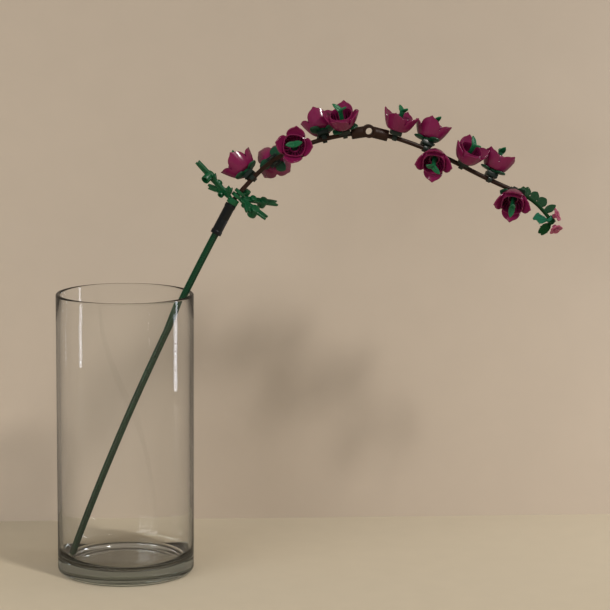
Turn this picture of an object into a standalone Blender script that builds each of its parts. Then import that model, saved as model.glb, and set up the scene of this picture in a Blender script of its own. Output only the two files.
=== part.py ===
"""Clip-together spray of blossoms leaning in a clear glass cylinder vase.

A green stem rod stands on the vase's inner floor and leans on its rim. A black sleeve on its top
takes the first brown branch rod, an angle connector turns the second rod downwards, and a leafy
vine ends it. Eleven four-petalled blossoms clip on to the two rods, seven of them with leaves.

Frame: origin under the middle of the vase, +X the way the branch reaches, +Y to the back, +Z up.
The stem and the branch lie in the plane y = 0.
"""

import math

import bmesh
import bpy
from mathutils import Matrix, Vector

MM = 0.001
GAP = 0.3 * MM

# Vase
VASE_RADIUS = 48.5 * MM
VASE_BORE = 45.7 * MM
VASE_HEIGHT = 200 * MM
VASE_FLOOR = 9 * MM
VASE_HEEL = 3 * MM
VASE_CORNER = 10 * MM
VASE_STEPS = 44

# Green stem rod: a ribbed cross of 4.8 mm, gently bent
STEM_WIDTH = 4.8 * MM
STEM_RIB = 1.8 * MM
STEM_FOOT = Vector((-38.9 * MM, 0, 10.25 * MM))
STEM_HEADING = 69.8
STEM_IN_SLEEVE = 11.4 * MM
STEM_ARCS = ((253.4 * MM, 62.4), (STEM_IN_SLEEVE, 62.4))

# Black sleeve that joins the stem to the first branch rod
SLEEVE_LENGTH = 23.6 * MM
SLEEVE_RADIUS = 3.65 * MM
SLEEVE_COLLAR = 3.95 * MM
SLEEVE_COLLAR_HEIGHT = 2.6 * MM

# Brown branch rods: round bars of 3.2 mm. Arcs are (length, heading at the end in degrees)
ROD_RADIUS = 1.6 * MM
ROD_IN_SLEEVE = 11.2 * MM
ROD_IN_ELBOW = 7.4 * MM
LOWER_ROD_ARCS = ((ROD_IN_SLEEVE, 62.4), (8 * MM, 48.7), (20 * MM, 45.7), (25 * MM, 26.4),
                  (30 * MM, 13.7), (18.2 * MM, 8.5), (ROD_IN_ELBOW, 8.5))
UPPER_ROD_ARCS = ((ROD_IN_ELBOW, -14), (25 * MM, -21.5), (37 * MM, -27.5), (42 * MM, -22))

# Angle connector between the rods
ELBOW_ARM = 12.4 * MM
ELBOW_LONG_ARM = 13.8 * MM
ELBOW_BEND = 22.5
ELBOW_ARM_RADIUS = 4 * MM
ELBOW_RADIUS = 4.6 * MM
ELBOW_DEPTH = 4.2 * MM
ELBOW_HOLE_RADIUS = 2.45 * MM
ELBOW_SOCKET = 8 * MM

# Clip plate: a plate with a stud on top and a C-clip under it, round the rod
PLATE_SIDE = 8 * MM
PLATE_HEIGHT = 3.1 * MM
PLATE_UNDER = 2.2 * MM
STUD_RADIUS = 2.4 * MM
STUD_HEIGHT = 1.7 * MM
CLIP_WIDTH = 3.2 * MM
CLIP_INNER = ROD_RADIUS + GAP
CLIP_OUTER = 2.9 * MM
CLIP_MOUTH = 100

# Leaf whorl: a hub with three rounded leaflets, between plate and petals
WHORL_THICKNESS = 1.6 * MM
WHORL_HUB = 4 * MM
WHORL_REACH = 10.6 * MM
WHORL_LEAF_WIDTH = 6.4 * MM
WHORL_BORE = 2.75 * MM

# Petal cup: a bowl that opens into four petals, with a rounded-square cup standing inside it
CUP_WALL = 0.9 * MM
CUP_HOLE = 2.75 * MM
CUP_BASE = 6.2 * MM
CUP_FLOOR = 1.3 * MM
INNER_CUP = 7.9 * MM
INNER_CUP_WALL = 0.8 * MM
INNER_CUP_HEIGHT = 10.2 * MM
PETAL_REACH = 13.4 * MM
PETAL_HEIGHT = 12.9 * MM
PETAL_NOTCH = 9.7 * MM
PETAL_NOTCH_HEIGHT = 5.4 * MM
PETAL_POINT = (0.8 * MM, 1.2 * MM)
PETAL_CURL = 1.7
PETAL_STEPS = 6

# Sprout: a stalk with two opposite leaflets that stands in the cup
SPROUT_STALK = 1.5 * MM
SPROUT_TOP = 14 * MM
SPROUT_TILT = 32
SPROUT_LEAF = ((0.0, 2.1 * MM), (2.5 * MM, 2.2 * MM), (5 * MM, 1.5 * MM), (6.4 * MM, 0.8 * MM),
               (7 * MM, 0.0))

# Blossoms: (name, rod, distance along it from the sleeve or the connector, side angle,
# petal turn, sprout turn, leaf turn or None, lean back along the rod). Side angle 0 points away
# from the rod's inside, +90 to the front (-Y), -90 to the back.
BLOSSOMS = (
    ("01", "lower", 24.0, -33, 8, 134, 100, 0),
    ("02", "lower", 43.0, -100, 66, 0, 72, 0),
    ("03", "lower", 60.1, 74, 59.5, 166, None, 0),
    ("04", "lower", 82.0, -45, 80, 10, 100, 0),
    ("05", "lower", 96.5, 28, 70, 136, -18, 3.5),
    ("06", "upper", 6.2, 5, 64, 115, None, 0),
    ("07", "upper", 29.4, -22, 68, 116, 60, 0),
    ("08", "upper", 37.4, 118, 20.5, 170, None, 0),
    ("09", "upper", 58.0, 28, 20, 128, None, 0),
    ("10", "upper", 80.4, -12, 41, 94, 75, 0),
    ("11", "upper", 100.0, 122, 17, 103, 60, 0),
)

# Leaf sprigs round the rod just above the sleeve
SPRIG_HUB = 4 * MM
SPRIG_THICKNESS = 2 * MM

# Tip vine and what it carries
VINE_RADIUS = 1.6 * MM
VINE_ARCS = ((7 * MM, -32), (13 * MM, -48), (13.5 * MM, -54))
TIP_BLOSSOM = 5.2 * MM
# Outlines of the two broad leaves, in mm from the eye that threads on the vine
TEAL_LEAF = ((-1.5, -1.2), (1.8, -1.4), (5, -2.6), (7.7, -5.0), (9.8, -3.9), (12.2, -0.8), (9.6, 0.4),
             (8.6, 1.8), (6.6, 3.1), (4.4, 2.7), (2.2, 1.8), (-1.5, 1.2))
DARK_LEAF = ((-1.5, -1.2), (2.5, -1.4), (5.6, -3.2), (10, -2.6), (12.5, -1), (11, 0.3), (12.1, 1.8),
             (7.5, 3.2), (3.8, 2.6), (2.2, 1.4), (-1.5, 1.2))


def new_collection(name, helper=False):
    collection = bpy.data.collections.new(name)
    bpy.context.scene.collection.children.link(collection)
    collection.hide_render = helper
    return collection


for old in list(bpy.data.objects):
    bpy.data.objects.remove(old, do_unlink=True)
PARTS = new_collection("blossom_spray_in_vase")
HELPERS = new_collection("cutters", helper=True)


def material(name, colour, roughness, transmission=0.0):
    made = bpy.data.materials.new(name)
    made.use_nodes = True
    shader = made.node_tree.nodes["Principled BSDF"]
    shader.inputs["Base Color"].default_value = (*colour, 1)
    shader.inputs["Roughness"].default_value = roughness
    shader.inputs["Metallic"].default_value = 0.0
    shader.inputs["Transmission Weight"].default_value = transmission
    return made


GLASS = material("clear_glass", (0.86, 0.9, 0.88), 0.03, 0.95)
GREEN = material("green_plastic", (0.01, 0.12, 0.05), 0.35)
DARK_GREEN = material("dark_green_plastic", (0.012, 0.045, 0.026), 0.4)
GREY_GREEN = material("grey_green_plastic", (0.03, 0.05, 0.042), 0.42)
TEAL = material("teal_leaf_plastic", (0.01, 0.15, 0.09), 0.4)
BROWN = material("brown_plastic", (0.03, 0.015, 0.009), 0.4)
BLACK = material("black_plastic", (0.006, 0.009, 0.011), 0.4)
MAGENTA = material("magenta_plastic", (0.2, 0.014, 0.07), 0.25)
ROSE = material("rose_plastic", (0.42, 0.06, 0.13), 0.35)


# ---------------------------------------------------------------- helpers

def linked(name, data, collection):
    obj = bpy.data.objects.new(name, data)
    collection.objects.link(obj)
    return obj


def part(name, mesh, mat, matrix=None):
    """A finished piece: its own object, with its material and its place."""
    obj = linked(name, mesh.copy(), PARTS)
    obj.data.name = name
    obj.data.materials.clear()
    obj.data.materials.append(mat)
    obj.data.shade_smooth()
    obj.data.set_sharp_from_angle(angle=math.radians(35))
    if matrix is not None:
        obj.matrix_world = matrix
    return obj


def baked(obj):
    """The object's evaluated mesh in world space, welded; the object is removed."""
    bpy.context.view_layer.update()
    graph = bpy.context.evaluated_depsgraph_get()
    mesh = bpy.data.meshes.new_from_object(obj.evaluated_get(graph))
    mesh.transform(obj.matrix_world)
    work = bmesh.new()
    work.from_mesh(mesh)
    bmesh.ops.remove_doubles(work, verts=work.verts, dist=1e-6)
    bmesh.ops.recalc_face_normals(work, faces=work.faces)
    work.to_mesh(mesh)
    work.free()
    bpy.data.objects.remove(obj, do_unlink=True)
    return mesh


def combined(base, others, operation="UNION"):
    """The base mesh with each other mesh joined to it, or cut from it."""
    body = linked("body", base, PARTS)
    tools = []
    for index, mesh in enumerate(others):
        tool = linked(f"tool_{index}", mesh, HELPERS)
        tool.hide_render = True
        tool.display_type = "WIRE"
        modifier = body.modifiers.new(f"{operation.lower()}_{index}", "BOOLEAN")
        modifier.operation = operation
        modifier.solver = "EXACT"
        modifier.object = tool
        tools.append(tool)
    mesh = baked(body)
    for tool in tools:
        bpy.data.objects.remove(tool, do_unlink=True)
    return mesh


def turned(profile, steps):
    """A turned mesh about Z, from a closed profile in X and Z that runs down its outer side."""
    mesh = bpy.data.meshes.new("profile")
    edges = [(i, (i + 1) % len(profile)) for i in range(len(profile))]
    if profile[0][0] == 0 and profile[-1][0] == 0:
        edges.pop()
    mesh.from_pydata([(x, 0, z) for x, z in profile], edges, [])
    obj = linked("turned", mesh, PARTS)
    screw = obj.modifiers.new("screw", "SCREW")
    screw.steps = steps
    screw.render_steps = steps
    screw.use_merge_vertices = True
    screw.merge_threshold = 1e-5
    screw.use_normal_calculate = True
    return baked(obj)


def cylinder(radius, bottom, top, sides=16, turn=0.0):
    work = bmesh.new()
    bmesh.ops.create_cone(work, cap_ends=True, segments=sides, radius1=radius, radius2=radius,
                          depth=top - bottom)
    bmesh.ops.rotate(work, verts=work.verts, matrix=Matrix.Rotation(turn, 3, "Z"))
    bmesh.ops.translate(work, verts=work.verts, vec=(0, 0, (top + bottom) / 2))
    mesh = bpy.data.meshes.new("cylinder")
    work.to_mesh(mesh)
    work.free()
    return mesh


def box(size, centre):
    work = bmesh.new()
    bmesh.ops.create_cube(work, size=1)
    bmesh.ops.scale(work, verts=work.verts, vec=size)
    bmesh.ops.translate(work, verts=work.verts, vec=centre)
    mesh = bpy.data.meshes.new("box")
    work.to_mesh(mesh)
    work.free()
    return mesh


def tube(points, radius):
    """A round tube with filled caps along the points."""
    curve = bpy.data.curves.new("tube", "CURVE")
    curve.dimensions = "3D"
    curve.bevel_depth = radius
    curve.bevel_resolution = 2
    curve.use_fill_caps = True
    spline = curve.splines.new("POLY")
    spline.points.add(len(points) - 1)
    for slot, point in zip(spline.points, points):
        slot.co = (*point, 1)
    return baked(linked("tube", curve, PARTS))


def plate(outline, thickness, holes=()):
    """A flat outline in X and Y, extruded evenly about z = 0."""
    curve = bpy.data.curves.new("plate", "CURVE")
    curve.dimensions = "2D"
    curve.fill_mode = "BOTH"
    curve.extrude = thickness / 2
    for loop in (outline, *holes):
        spline = curve.splines.new("POLY")
        spline.points.add(len(loop) - 1)
        spline.use_cyclic_u = True
        for slot, (x, y) in zip(spline.points, loop):
            slot.co = (x, y, 0, 1)
    return baked(linked("plate", curve, PARTS))


def moved(mesh, matrix):
    mesh.transform(matrix)
    return mesh


def circle(radius, count, centre=(0.0, 0.0)):
    return [(centre[0] + radius * math.cos(math.tau * i / count),
             centre[1] + radius * math.sin(math.tau * i / count)) for i in range(count)]


def heading_vector(degrees):
    return Vector((math.cos(math.radians(degrees)), 0, math.sin(math.radians(degrees))))


def walk(start, heading, arcs, step):
    """Points and headings along arcs that follow one another in the plane y = 0."""
    points, headings = [start.copy()], [heading]
    for length, end in arcs:
        count = max(1, round(length / step))
        for i in range(count):
            middle = heading + (end - heading) * (i + 0.5) / count
            points.append(points[-1] + heading_vector(middle) * (length / count))
            headings.append(heading + (end - heading) * (i + 1) / count)
        heading = end
    return points, headings


def station(route, distance):
    """Point and heading at a distance along a route."""
    points, headings = route
    for i in range(len(points) - 1):
        length = (points[i + 1] - points[i]).length
        if distance <= length or i == len(points) - 2:
            share = distance / length
            return (points[i].lerp(points[i + 1], share),
                    headings[i] + (headings[i + 1] - headings[i]) * share)
        distance -= length


def axes(origin, z_axis, x_axis):
    """Matrix of a frame with these Z and X directions."""
    z_axis = z_axis.normalized()
    x_axis = (x_axis - z_axis * x_axis.dot(z_axis)).normalized()
    matrix = Matrix((x_axis, z_axis.cross(x_axis), z_axis)).transposed().to_4x4()
    matrix.translation = origin
    return matrix


def turn_z(degrees):
    return Matrix.Rotation(math.radians(degrees), 4, "Z")


def shift_z(distance):
    return Matrix.Translation((0, 0, distance))


# ---------------------------------------------------------------- vase and stem

def build_vase():
    lip = (VASE_RADIUS - VASE_BORE) / 2
    middle = (VASE_RADIUS + VASE_BORE) / 2
    rim = [(middle + lip * math.cos(math.radians(a)), VASE_HEIGHT - lip + lip * math.sin(math.radians(a)))
           for a in (180, 135, 90, 45, 0)]
    heel = [(VASE_RADIUS - VASE_HEEL * (1 - math.cos(math.radians(a))),
             VASE_HEEL * (1 - math.sin(math.radians(a)))) for a in (0, 35, 62, 90)]
    corner = [(VASE_BORE - VASE_CORNER * (1 - math.sin(math.radians(a))),
               VASE_FLOOR + VASE_CORNER * (1 - math.cos(math.radians(a)))) for a in range(0, 91, 15)]
    profile = [(0, VASE_FLOOR), *corner, *rim, *heel, (0, 0)]
    part("glass_vase", turned(profile, VASE_STEPS), GLASS)


def cross_section(width, rib):
    """Half-width corners of a ribbed cross, anticlockwise."""
    a, b = width / 2, rib / 2
    quarter = [(a, -b), (a, b), (b, b)]
    corners = []
    for k in range(4):
        c, s = round(math.cos(k * math.pi / 2)), round(math.sin(k * math.pi / 2))
        corners += [(x * c - y * s, x * s + y * c) for x, y in quarter]
    return corners


def build_stem():
    """The ribbed cross, lofted from section to section along the bent stem."""
    points, headings = walk(STEM_FOOT, STEM_HEADING, STEM_ARCS, 12 * MM)
    section = cross_section(STEM_WIDTH, STEM_RIB)
    work = bmesh.new()
    rings = []
    for point, heading in zip(points, headings):
        side = heading_vector(heading - 90)
        rings.append([work.verts.new(point + side * x + Vector((0, 1, 0)) * y) for x, y in section])
    count = len(section)
    for low, high in zip(rings, rings[1:]):
        for i in range(count):
            work.faces.new((low[i], low[(i + 1) % count], high[(i + 1) % count], high[i]))
    work.faces.new(rings[0])
    work.faces.new(rings[-1])
    bmesh.ops.recalc_face_normals(work, faces=work.faces)
    bmesh.ops.triangulate(work, faces=[f for f in work.faces if len(f.verts) > 4])
    mesh = bpy.data.meshes.new("stem_rod")
    work.to_mesh(mesh)
    work.free()
    part("stem_rod", mesh, GREEN)
    return points[-1], headings[-1]


def build_sleeve(bottom, heading):
    """A stepped bore: wide below for the stem, narrow above for the rod."""
    wide, narrow = STEM_WIDTH / 2 + GAP, ROD_RADIUS + GAP
    half = SLEEVE_LENGTH / 2
    collar, inner = SLEEVE_COLLAR_HEIGHT, SLEEVE_COLLAR - SLEEVE_RADIUS
    profile = [(narrow, SLEEVE_LENGTH), (SLEEVE_COLLAR - 0.3 * MM, SLEEVE_LENGTH),
               (SLEEVE_COLLAR, SLEEVE_LENGTH - 0.4 * MM), (SLEEVE_COLLAR, SLEEVE_LENGTH - collar),
               (SLEEVE_RADIUS, SLEEVE_LENGTH - collar - inner), (SLEEVE_RADIUS, collar + inner),
               (SLEEVE_COLLAR, collar), (SLEEVE_COLLAR, 0.4 * MM), (SLEEVE_COLLAR - 0.3 * MM, 0),
               (wide, 0), (wide, half), (narrow, half)]
    place = axes(bottom, heading_vector(heading), Vector((0, 1, 0)))
    part("stem_sleeve", turned(profile, 20), BLACK, place)


def build_elbow(hole, left_heading):
    """Two round arms that meet at an eye with a counterbored cross hole."""
    right_heading = left_heading - ELBOW_BEND
    arms = []
    cuts = []
    for direction, length in ((heading_vector(left_heading + 180), ELBOW_ARM),
                              (heading_vector(right_heading), ELBOW_LONG_ARM)):
        place = axes(hole, direction, Vector((0, 1, 0)))
        arms.append(moved(cylinder(ELBOW_ARM_RADIUS, 0, length, 20), place))
        cuts.append(moved(cylinder(ROD_RADIUS + GAP, ELBOW_ARM - ELBOW_SOCKET, length + 1 * MM, 12),
                          place))
    across = axes(hole, Vector((0, -1, 0)), Vector((1, 0, 0)))
    eye = moved(cylinder(ELBOW_RADIUS, -ELBOW_DEPTH, ELBOW_DEPTH, 24), across)
    cuts.append(moved(cylinder(ELBOW_HOLE_RADIUS, -6 * MM, 6 * MM, 16), across))
    for side in (1, -1):
        cuts.append(moved(cylinder(3.1 * MM, ELBOW_DEPTH - 0.8 * MM, ELBOW_DEPTH + 1 * MM, 16),
                          across @ Matrix.Scale(side, 4, (0, 0, 1)) if side > 0 else
                          across @ Matrix.Rotation(math.pi, 4, "X")))
    body = combined(eye, arms)
    part("branch_elbow", combined(body, cuts, "DIFFERENCE"), BROWN)


def build_rod(name, start, heading, arcs):
    route = walk(start, heading, arcs, 5 * MM)
    part(name, tube(route[0], ROD_RADIUS), BROWN)
    return route


# ---------------------------------------------------------------- blossom pieces

def clip_plate_mesh():
    """Z up from the rod's axis, X along the rod."""
    top = PLATE_UNDER + PLATE_HEIGHT
    slab = box((PLATE_SIDE, PLATE_SIDE, PLATE_HEIGHT), (0, 0, PLATE_UNDER + PLATE_HEIGHT / 2))
    stud = cylinder(STUD_RADIUS, top - 1 * MM, top + STUD_HEIGHT, 16)
    start = -90 + CLIP_MOUTH / 2
    angles = [math.radians(start + (360 - CLIP_MOUTH) * i / 10) for i in range(11)]
    ring = [(CLIP_OUTER * math.cos(a), CLIP_OUTER * math.sin(a)) for a in angles]
    ring += [(CLIP_INNER * math.cos(a), CLIP_INNER * math.sin(a)) for a in reversed(angles)]
    clip = moved(plate(ring, CLIP_WIDTH),
                 Matrix(((0, 0, 1, 0), (1, 0, 0, 0), (0, 1, 0, 0), (0, 0, 0, 1))))
    return combined(slab, [stud, clip])


def leaf_outline(reach, width, root, count=7):
    """One rounded leaflet along +X, from its root half-width to its tip, as half points."""
    half = []
    for i in range(count):
        t = i / (count - 1)
        x = root[0] + (reach - root[0]) * (1 - math.cos(t * math.pi)) / 2
        bulge = math.sin(min(1.0, t * 1.02) * math.pi) ** 0.75 if 0 < t < 1 else 0.0
        half.append((x, root[1] * (1 - t) ** 2 + width / 2 * bulge * (0.86 + 0.14 * t)))
    half[-1] = (reach, 0.0)
    return half


def whorl_mesh():
    """Three leaflets at 120 degrees round a hub with a hole for the stud."""
    root_angle = math.radians(24)
    root = (WHORL_HUB * math.cos(root_angle), WHORL_HUB * math.sin(root_angle))
    half = leaf_outline(WHORL_REACH, WHORL_LEAF_WIDTH, root)
    loop = []
    for k in range(3):
        turn = Matrix.Rotation(math.radians(120 * k), 2)
        leaf = [(x, -y) for x, y in half] + [(x, y) for x, y in reversed(half[:-1])]
        loop += [tuple(turn @ Vector(p)) for p in leaf]
        for step in (1, 2):
            angle = math.radians(120 * k) + root_angle + (math.tau / 3 - 2 * root_angle) * step / 3
            loop.append((WHORL_HUB * math.cos(angle), WHORL_HUB * math.sin(angle)))
    mesh = plate(loop, WHORL_THICKNESS, (circle(WHORL_BORE, 16),))
    for vertex in mesh.vertices:
        reach = max(0.0, math.hypot(vertex.co.x, vertex.co.y) - WHORL_HUB)
        vertex.co.z += WHORL_THICKNESS / 2 + 0.1 * reach
    return mesh


def squared(radius, angle, power):
    """Radius at an angle of a rounded square whose flats lie at this radius."""
    c, s = abs(math.cos(angle)), abs(math.sin(angle))
    return radius / (c ** power + s ** power) ** (1 / power)


def petal_edge(angle):
    """Radius and height of the edge of the four petals, each with a blunt point, and of the
    notches between them."""
    share = abs((angle + math.pi / 4) % (math.pi / 2) - math.pi / 4) / (math.pi / 4)
    body = math.cos(min(share * 1.06, 1.0) * math.pi / 2) ** 0.55
    point = max(0.0, 1 - share * 4.4)
    return (PETAL_NOTCH + (PETAL_REACH - PETAL_POINT[0] - PETAL_NOTCH) * body
            + PETAL_POINT[0] * point,
            PETAL_NOTCH_HEIGHT + (PETAL_HEIGHT - PETAL_POINT[1] - PETAL_NOTCH_HEIGHT) * body ** 0.8
            + PETAL_POINT[1] * point)


def cup_mesh():
    """One closed skin: under the base, up the petals, down into the groove, over the inner cup
    and across its floor to the hole."""
    base = ((CUP_HOLE, 0.0, 2.0), (CUP_BASE, 0.0, 2.0))
    inner = ((INNER_CUP, INNER_CUP_HEIGHT - 0.4 * MM, 2.6),
             (INNER_CUP - INNER_CUP_WALL / 2, INNER_CUP_HEIGHT, 2.6),
             (INNER_CUP - INNER_CUP_WALL, INNER_CUP_HEIGHT - 0.4 * MM, 2.6),
             (INNER_CUP - INNER_CUP_WALL - 0.6 * MM, CUP_FLOOR + 1.2 * MM, 2.5),
             (CUP_BASE - 0.6 * MM, CUP_FLOOR, 2.0), (CUP_HOLE, CUP_FLOOR, 2.0))
    work = bmesh.new()
    rows = []
    for index in range(4 * PETAL_STEPS):
        angle = math.tau * index / (4 * PETAL_STEPS)
        edge, high = petal_edge(angle)
        root = (squared(INNER_CUP + 0.35 * MM, angle, 2.6),
                min(INNER_CUP_HEIGHT - 1.9 * MM, 0.95 * high))
        wall = min(CUP_WALL, (edge - root[0]) * 0.8)
        rim = (edge - 0.93 * wall, high + 0.35 * wall)
        profile = [(squared(r, angle, power), z) for r, z, power in base]
        profile += [(CUP_BASE + (edge - CUP_BASE) * share, high * share ** PETAL_CURL)
                    for share in (0.2, 0.4, 0.62, 0.82, 1.0)]
        profile += [rim, ((rim[0] + root[0]) / 2, (rim[1] + root[1]) / 2), root]
        profile += [(squared(r, angle, power), z) for r, z, power in inner]
        c, s = math.cos(angle), math.sin(angle)
        rows.append([work.verts.new((r * c, r * s, z)) for r, z in profile])
    length = len(rows[0])
    for here, there in zip(rows, rows[1:] + rows[:1]):
        for i in range(length):
            j = (i + 1) % length
            work.faces.new((here[i], there[i], there[j], here[j]))
    bmesh.ops.recalc_face_normals(work, faces=work.faces)
    mesh = bpy.data.meshes.new("cup")
    work.to_mesh(mesh)
    work.free()
    return mesh


def sprout_mesh(bottom):
    """Stalk with two opposite leaflets that open upwards; Z from the cup's base."""
    stalk = cylinder(SPROUT_STALK, bottom, SPROUT_TOP, 10)
    leaves = []
    for k in range(2):
        loop = [(x, -y) for x, y in SPROUT_LEAF] + [(x, y) for x, y in reversed(SPROUT_LEAF[:-1])]
        leaf = plate(loop, 1.2 * MM)
        tilt = turn_z(180 * k) @ shift_z(SPROUT_TOP - 0.5 * MM)
        tilt = tilt @ Matrix.Rotation(math.radians(-SPROUT_TILT), 4, "Y")
        leaves.append(moved(leaf, tilt))
    return combined(stalk, leaves)


def build_blossoms(routes):
    clip = clip_plate_mesh()
    whorl = whorl_mesh()
    cup = cup_mesh()
    stud_top = PLATE_UNDER + PLATE_HEIGHT + STUD_HEIGHT
    for name, rod, distance, side, petal_turn, sprout_turn, leaf_turn, lean in BLOSSOMS:
        point, heading = station(routes[rod], distance * MM)
        along = heading_vector(heading)
        outward = heading_vector(heading + 90) * math.cos(math.radians(side))
        outward += Vector((0, -1, 0)) * math.sin(math.radians(side))
        place = axes(point, outward, along) @ Matrix.Rotation(math.radians(-lean), 4, "Y")
        part(f"clip_plate_{name}", clip, GREY_GREEN, place)
        base = PLATE_UNDER + PLATE_HEIGHT + GAP
        if leaf_turn is not None:
            part(f"leaf_whorl_{name}", whorl, GREEN, place @ shift_z(base) @ turn_z(leaf_turn))
            base += WHORL_THICKNESS + GAP
        part(f"petals_{name}", cup, MAGENTA, place @ shift_z(base) @ turn_z(petal_turn))
        sprout = sprout_mesh(stud_top + GAP - base)
        part(f"sprout_{name}", sprout, GREEN, place @ shift_z(base) @ turn_z(sprout_turn))


# ---------------------------------------------------------------- leaf sprigs

def lobe(start, angle, length, width, notch):
    """A straight lobe whose end is cut to a V, in the sprig's own plane."""
    half = width / 2
    outline = [(0, -half * 0.55), (2.5, -half * 0.9), (length * 0.6, -half), (length, -half * 0.9),
               (length - notch, 0), (length, half * 0.9), (length * 0.6, half), (2.5, half * 0.9),
               (0, half * 0.55)]
    turn = Matrix.Rotation(math.radians(angle), 2)
    return [tuple(turn @ Vector(p) + Vector(start)) for p in outline]


def build_sprig(name, route, distance, direction, height, tilt, lobes, studs, tubes):
    """Hub ring on the rod, with lobes that lean up along it, studs on top and tubes below.

    Tilt is (lean of the lobes up the rod, roll about their length) in degrees.
    """
    point, heading = station(route, distance)
    along = heading_vector(heading)
    sideways = heading_vector(heading + 90) * direction
    flat = axes(point, along, sideways)
    lean = flat @ shift_z(height / 2 - SPRIG_THICKNESS * 0.9)
    lean = lean @ Matrix.Rotation(math.radians(-tilt[0]), 4, "Y")
    lean = lean @ Matrix.Rotation(math.radians(tilt[1]), 4, "X")
    pieces = []
    for index, (start, angle, length, width, notch) in enumerate(lobes):
        outline = [(x * MM, y * MM) for x, y in lobe(start, angle, length, width, notch)]
        pieces.append(moved(plate(outline, SPRIG_THICKNESS + 0.02 * MM * index), lean))
    for x, y in studs:
        shifted = lean @ Matrix.Translation((x * MM, y * MM, 0))
        pieces.append(moved(cylinder(STUD_RADIUS, 0, SPRIG_THICKNESS / 2 + STUD_HEIGHT, 12), shifted))
    for x, y, radius, depth, top in tubes:
        shifted = lean @ Matrix.Translation((x * MM, y * MM, 0))
        pieces.append(moved(cylinder(radius * MM, -depth * MM, top * MM, 12), shifted))
    hub = moved(cylinder(SPRIG_HUB, -height / 2, height / 2, 16), flat)
    bore = moved(cylinder(ROD_RADIUS + GAP, -6 * MM, 6 * MM, 12), flat)
    part(name, combined(combined(hub, pieces), [bore], "DIFFERENCE"), GREEN)


def build_sprigs(route):
    build_sprig("leaf_sprig_left", route, 13.6 * MM, 1, 4.2 * MM, (16, 40),
                (((3, 0), 0, 34.4, 4.6, 2.6), ((9, -1), -42, 13, 4.2, 1.6), ((5.6, 1), 62, 8, 4, 1.4),
                 ((19, 0), 40, 7, 3.8, 1.4)),
                ((16, 0), (8, 0)), ((24.5, 0, 3, 6, 1.9), (9, -3, 2.2, 3, 0.5)))
    build_sprig("leaf_sprig_right", route, 18.3 * MM, -1, 2.6 * MM, (11, 36),
                (((2.6, 0), -12, 23.6, 4.4, 2.4), ((5, 1.5), 29, 27.5, 4.6, 2.6), ((8, -2), -58, 8, 4, 1.4)),
                ((11.4, 5),), ((15.6, -2.8, 3.4, 6, 1.6), (19.2, 9.4, 3, 4.4, 1.9), (8, -0.6, 2.2, 4, 0.5)))
    build_sprig("leaf_sprig_back", route, 21.4 * MM, -1, 2.4 * MM, (11, 17),
                (((1.6, 1.6), 60, 8.6, 4.6, 1.4),), (), ((4.8, 5.6, 2.4, 0.6, 3.2),))


# ---------------------------------------------------------------- leafy tip

def build_tip(start, heading):
    points, headings = walk(start, heading, VINE_ARCS, 2.5 * MM)
    route = (points, headings)
    leaves = []
    for distance, length, width, lean in ((3.0, 6.6, 4.6, 101), (5.4, 7.8, 5.6, 96), (10.4, 8.6, 6.6, 86),
                                          (15.8, 9.6, 7.2, 78), (22.8, 12, 5, 82)):
        point, direction = station(route, distance * MM)
        half = leaf_outline(length * MM, width * MM, (0.0, 0.8 * MM), 5)
        loop = [(x, -y) for x, y in half] + [(x, y) for x, y in reversed(half[:-1])]
        place = axes(point, Vector((0.25, -0.6, 0.35)), heading_vector(direction + lean))
        leaves.append(moved(plate(loop, 1.3 * MM), place))
    vine = combined(tube(points, VINE_RADIUS), leaves)
    part("tip_vine", vine, DARK_GREEN)
    return route


def build_tip_leaf(name, mat, route, distance, heading, outline, side):
    """A broad leaf whose round eye threads on the vine."""
    point, direction = station(route, distance * MM)
    blade = plate([(x * MM, y * MM) for x, y in outline], 1.2 * MM)
    place = axes(point, Vector((0, -1, 0.12 * side)), heading_vector(heading))
    blade = moved(blade, place)
    along = axes(point, heading_vector(direction), Vector((0, 1, 0)))
    eye = moved(cylinder(2.7 * MM, -1.2 * MM, 1.2 * MM, 12), along)
    bore = moved(cylinder(VINE_RADIUS + GAP, -4 * MM, 4 * MM, 12), along)
    part(name, combined(combined(eye, [blade]), [bore], "DIFFERENCE"), mat)


def tip_blossom_mesh():
    """Five round petals and a raised eye."""
    loop = []
    for k in range(5):
        for step in range(6):
            share = step / 6
            angle = math.tau * (k + share) / 5
            reach = TIP_BLOSSOM * (0.56 + 0.44 * math.sin(math.pi * share) ** 0.6)
            loop.append((reach * math.cos(angle), reach * math.sin(angle)))
    mesh = plate(loop, 1.4 * MM)
    for vertex in mesh.vertices:
        vertex.co.z += 0.2 * math.hypot(vertex.co.x, vertex.co.y)
    return combined(mesh, [cylinder(1.6 * MM, -2.6 * MM, 1.9 * MM, 10)])


def build_tip_blossoms(route):
    mesh = tip_blossom_mesh()
    for name, distance, heading, front, lift in (("upper", 28.4, 24, -0.4, 5.6),
                                                 ("lower", 33.5, -68, -0.8, 4.4)):
        point, _ = station(route, distance * MM)
        outward = (heading_vector(heading) + Vector((0, front, 0))).normalized()
        place = axes(point + outward * lift * MM, outward, Vector((0, 0, 1)))
        part(f"tip_blossom_{name}", mesh, ROSE, place)


# ---------------------------------------------------------------- assembly

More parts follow.
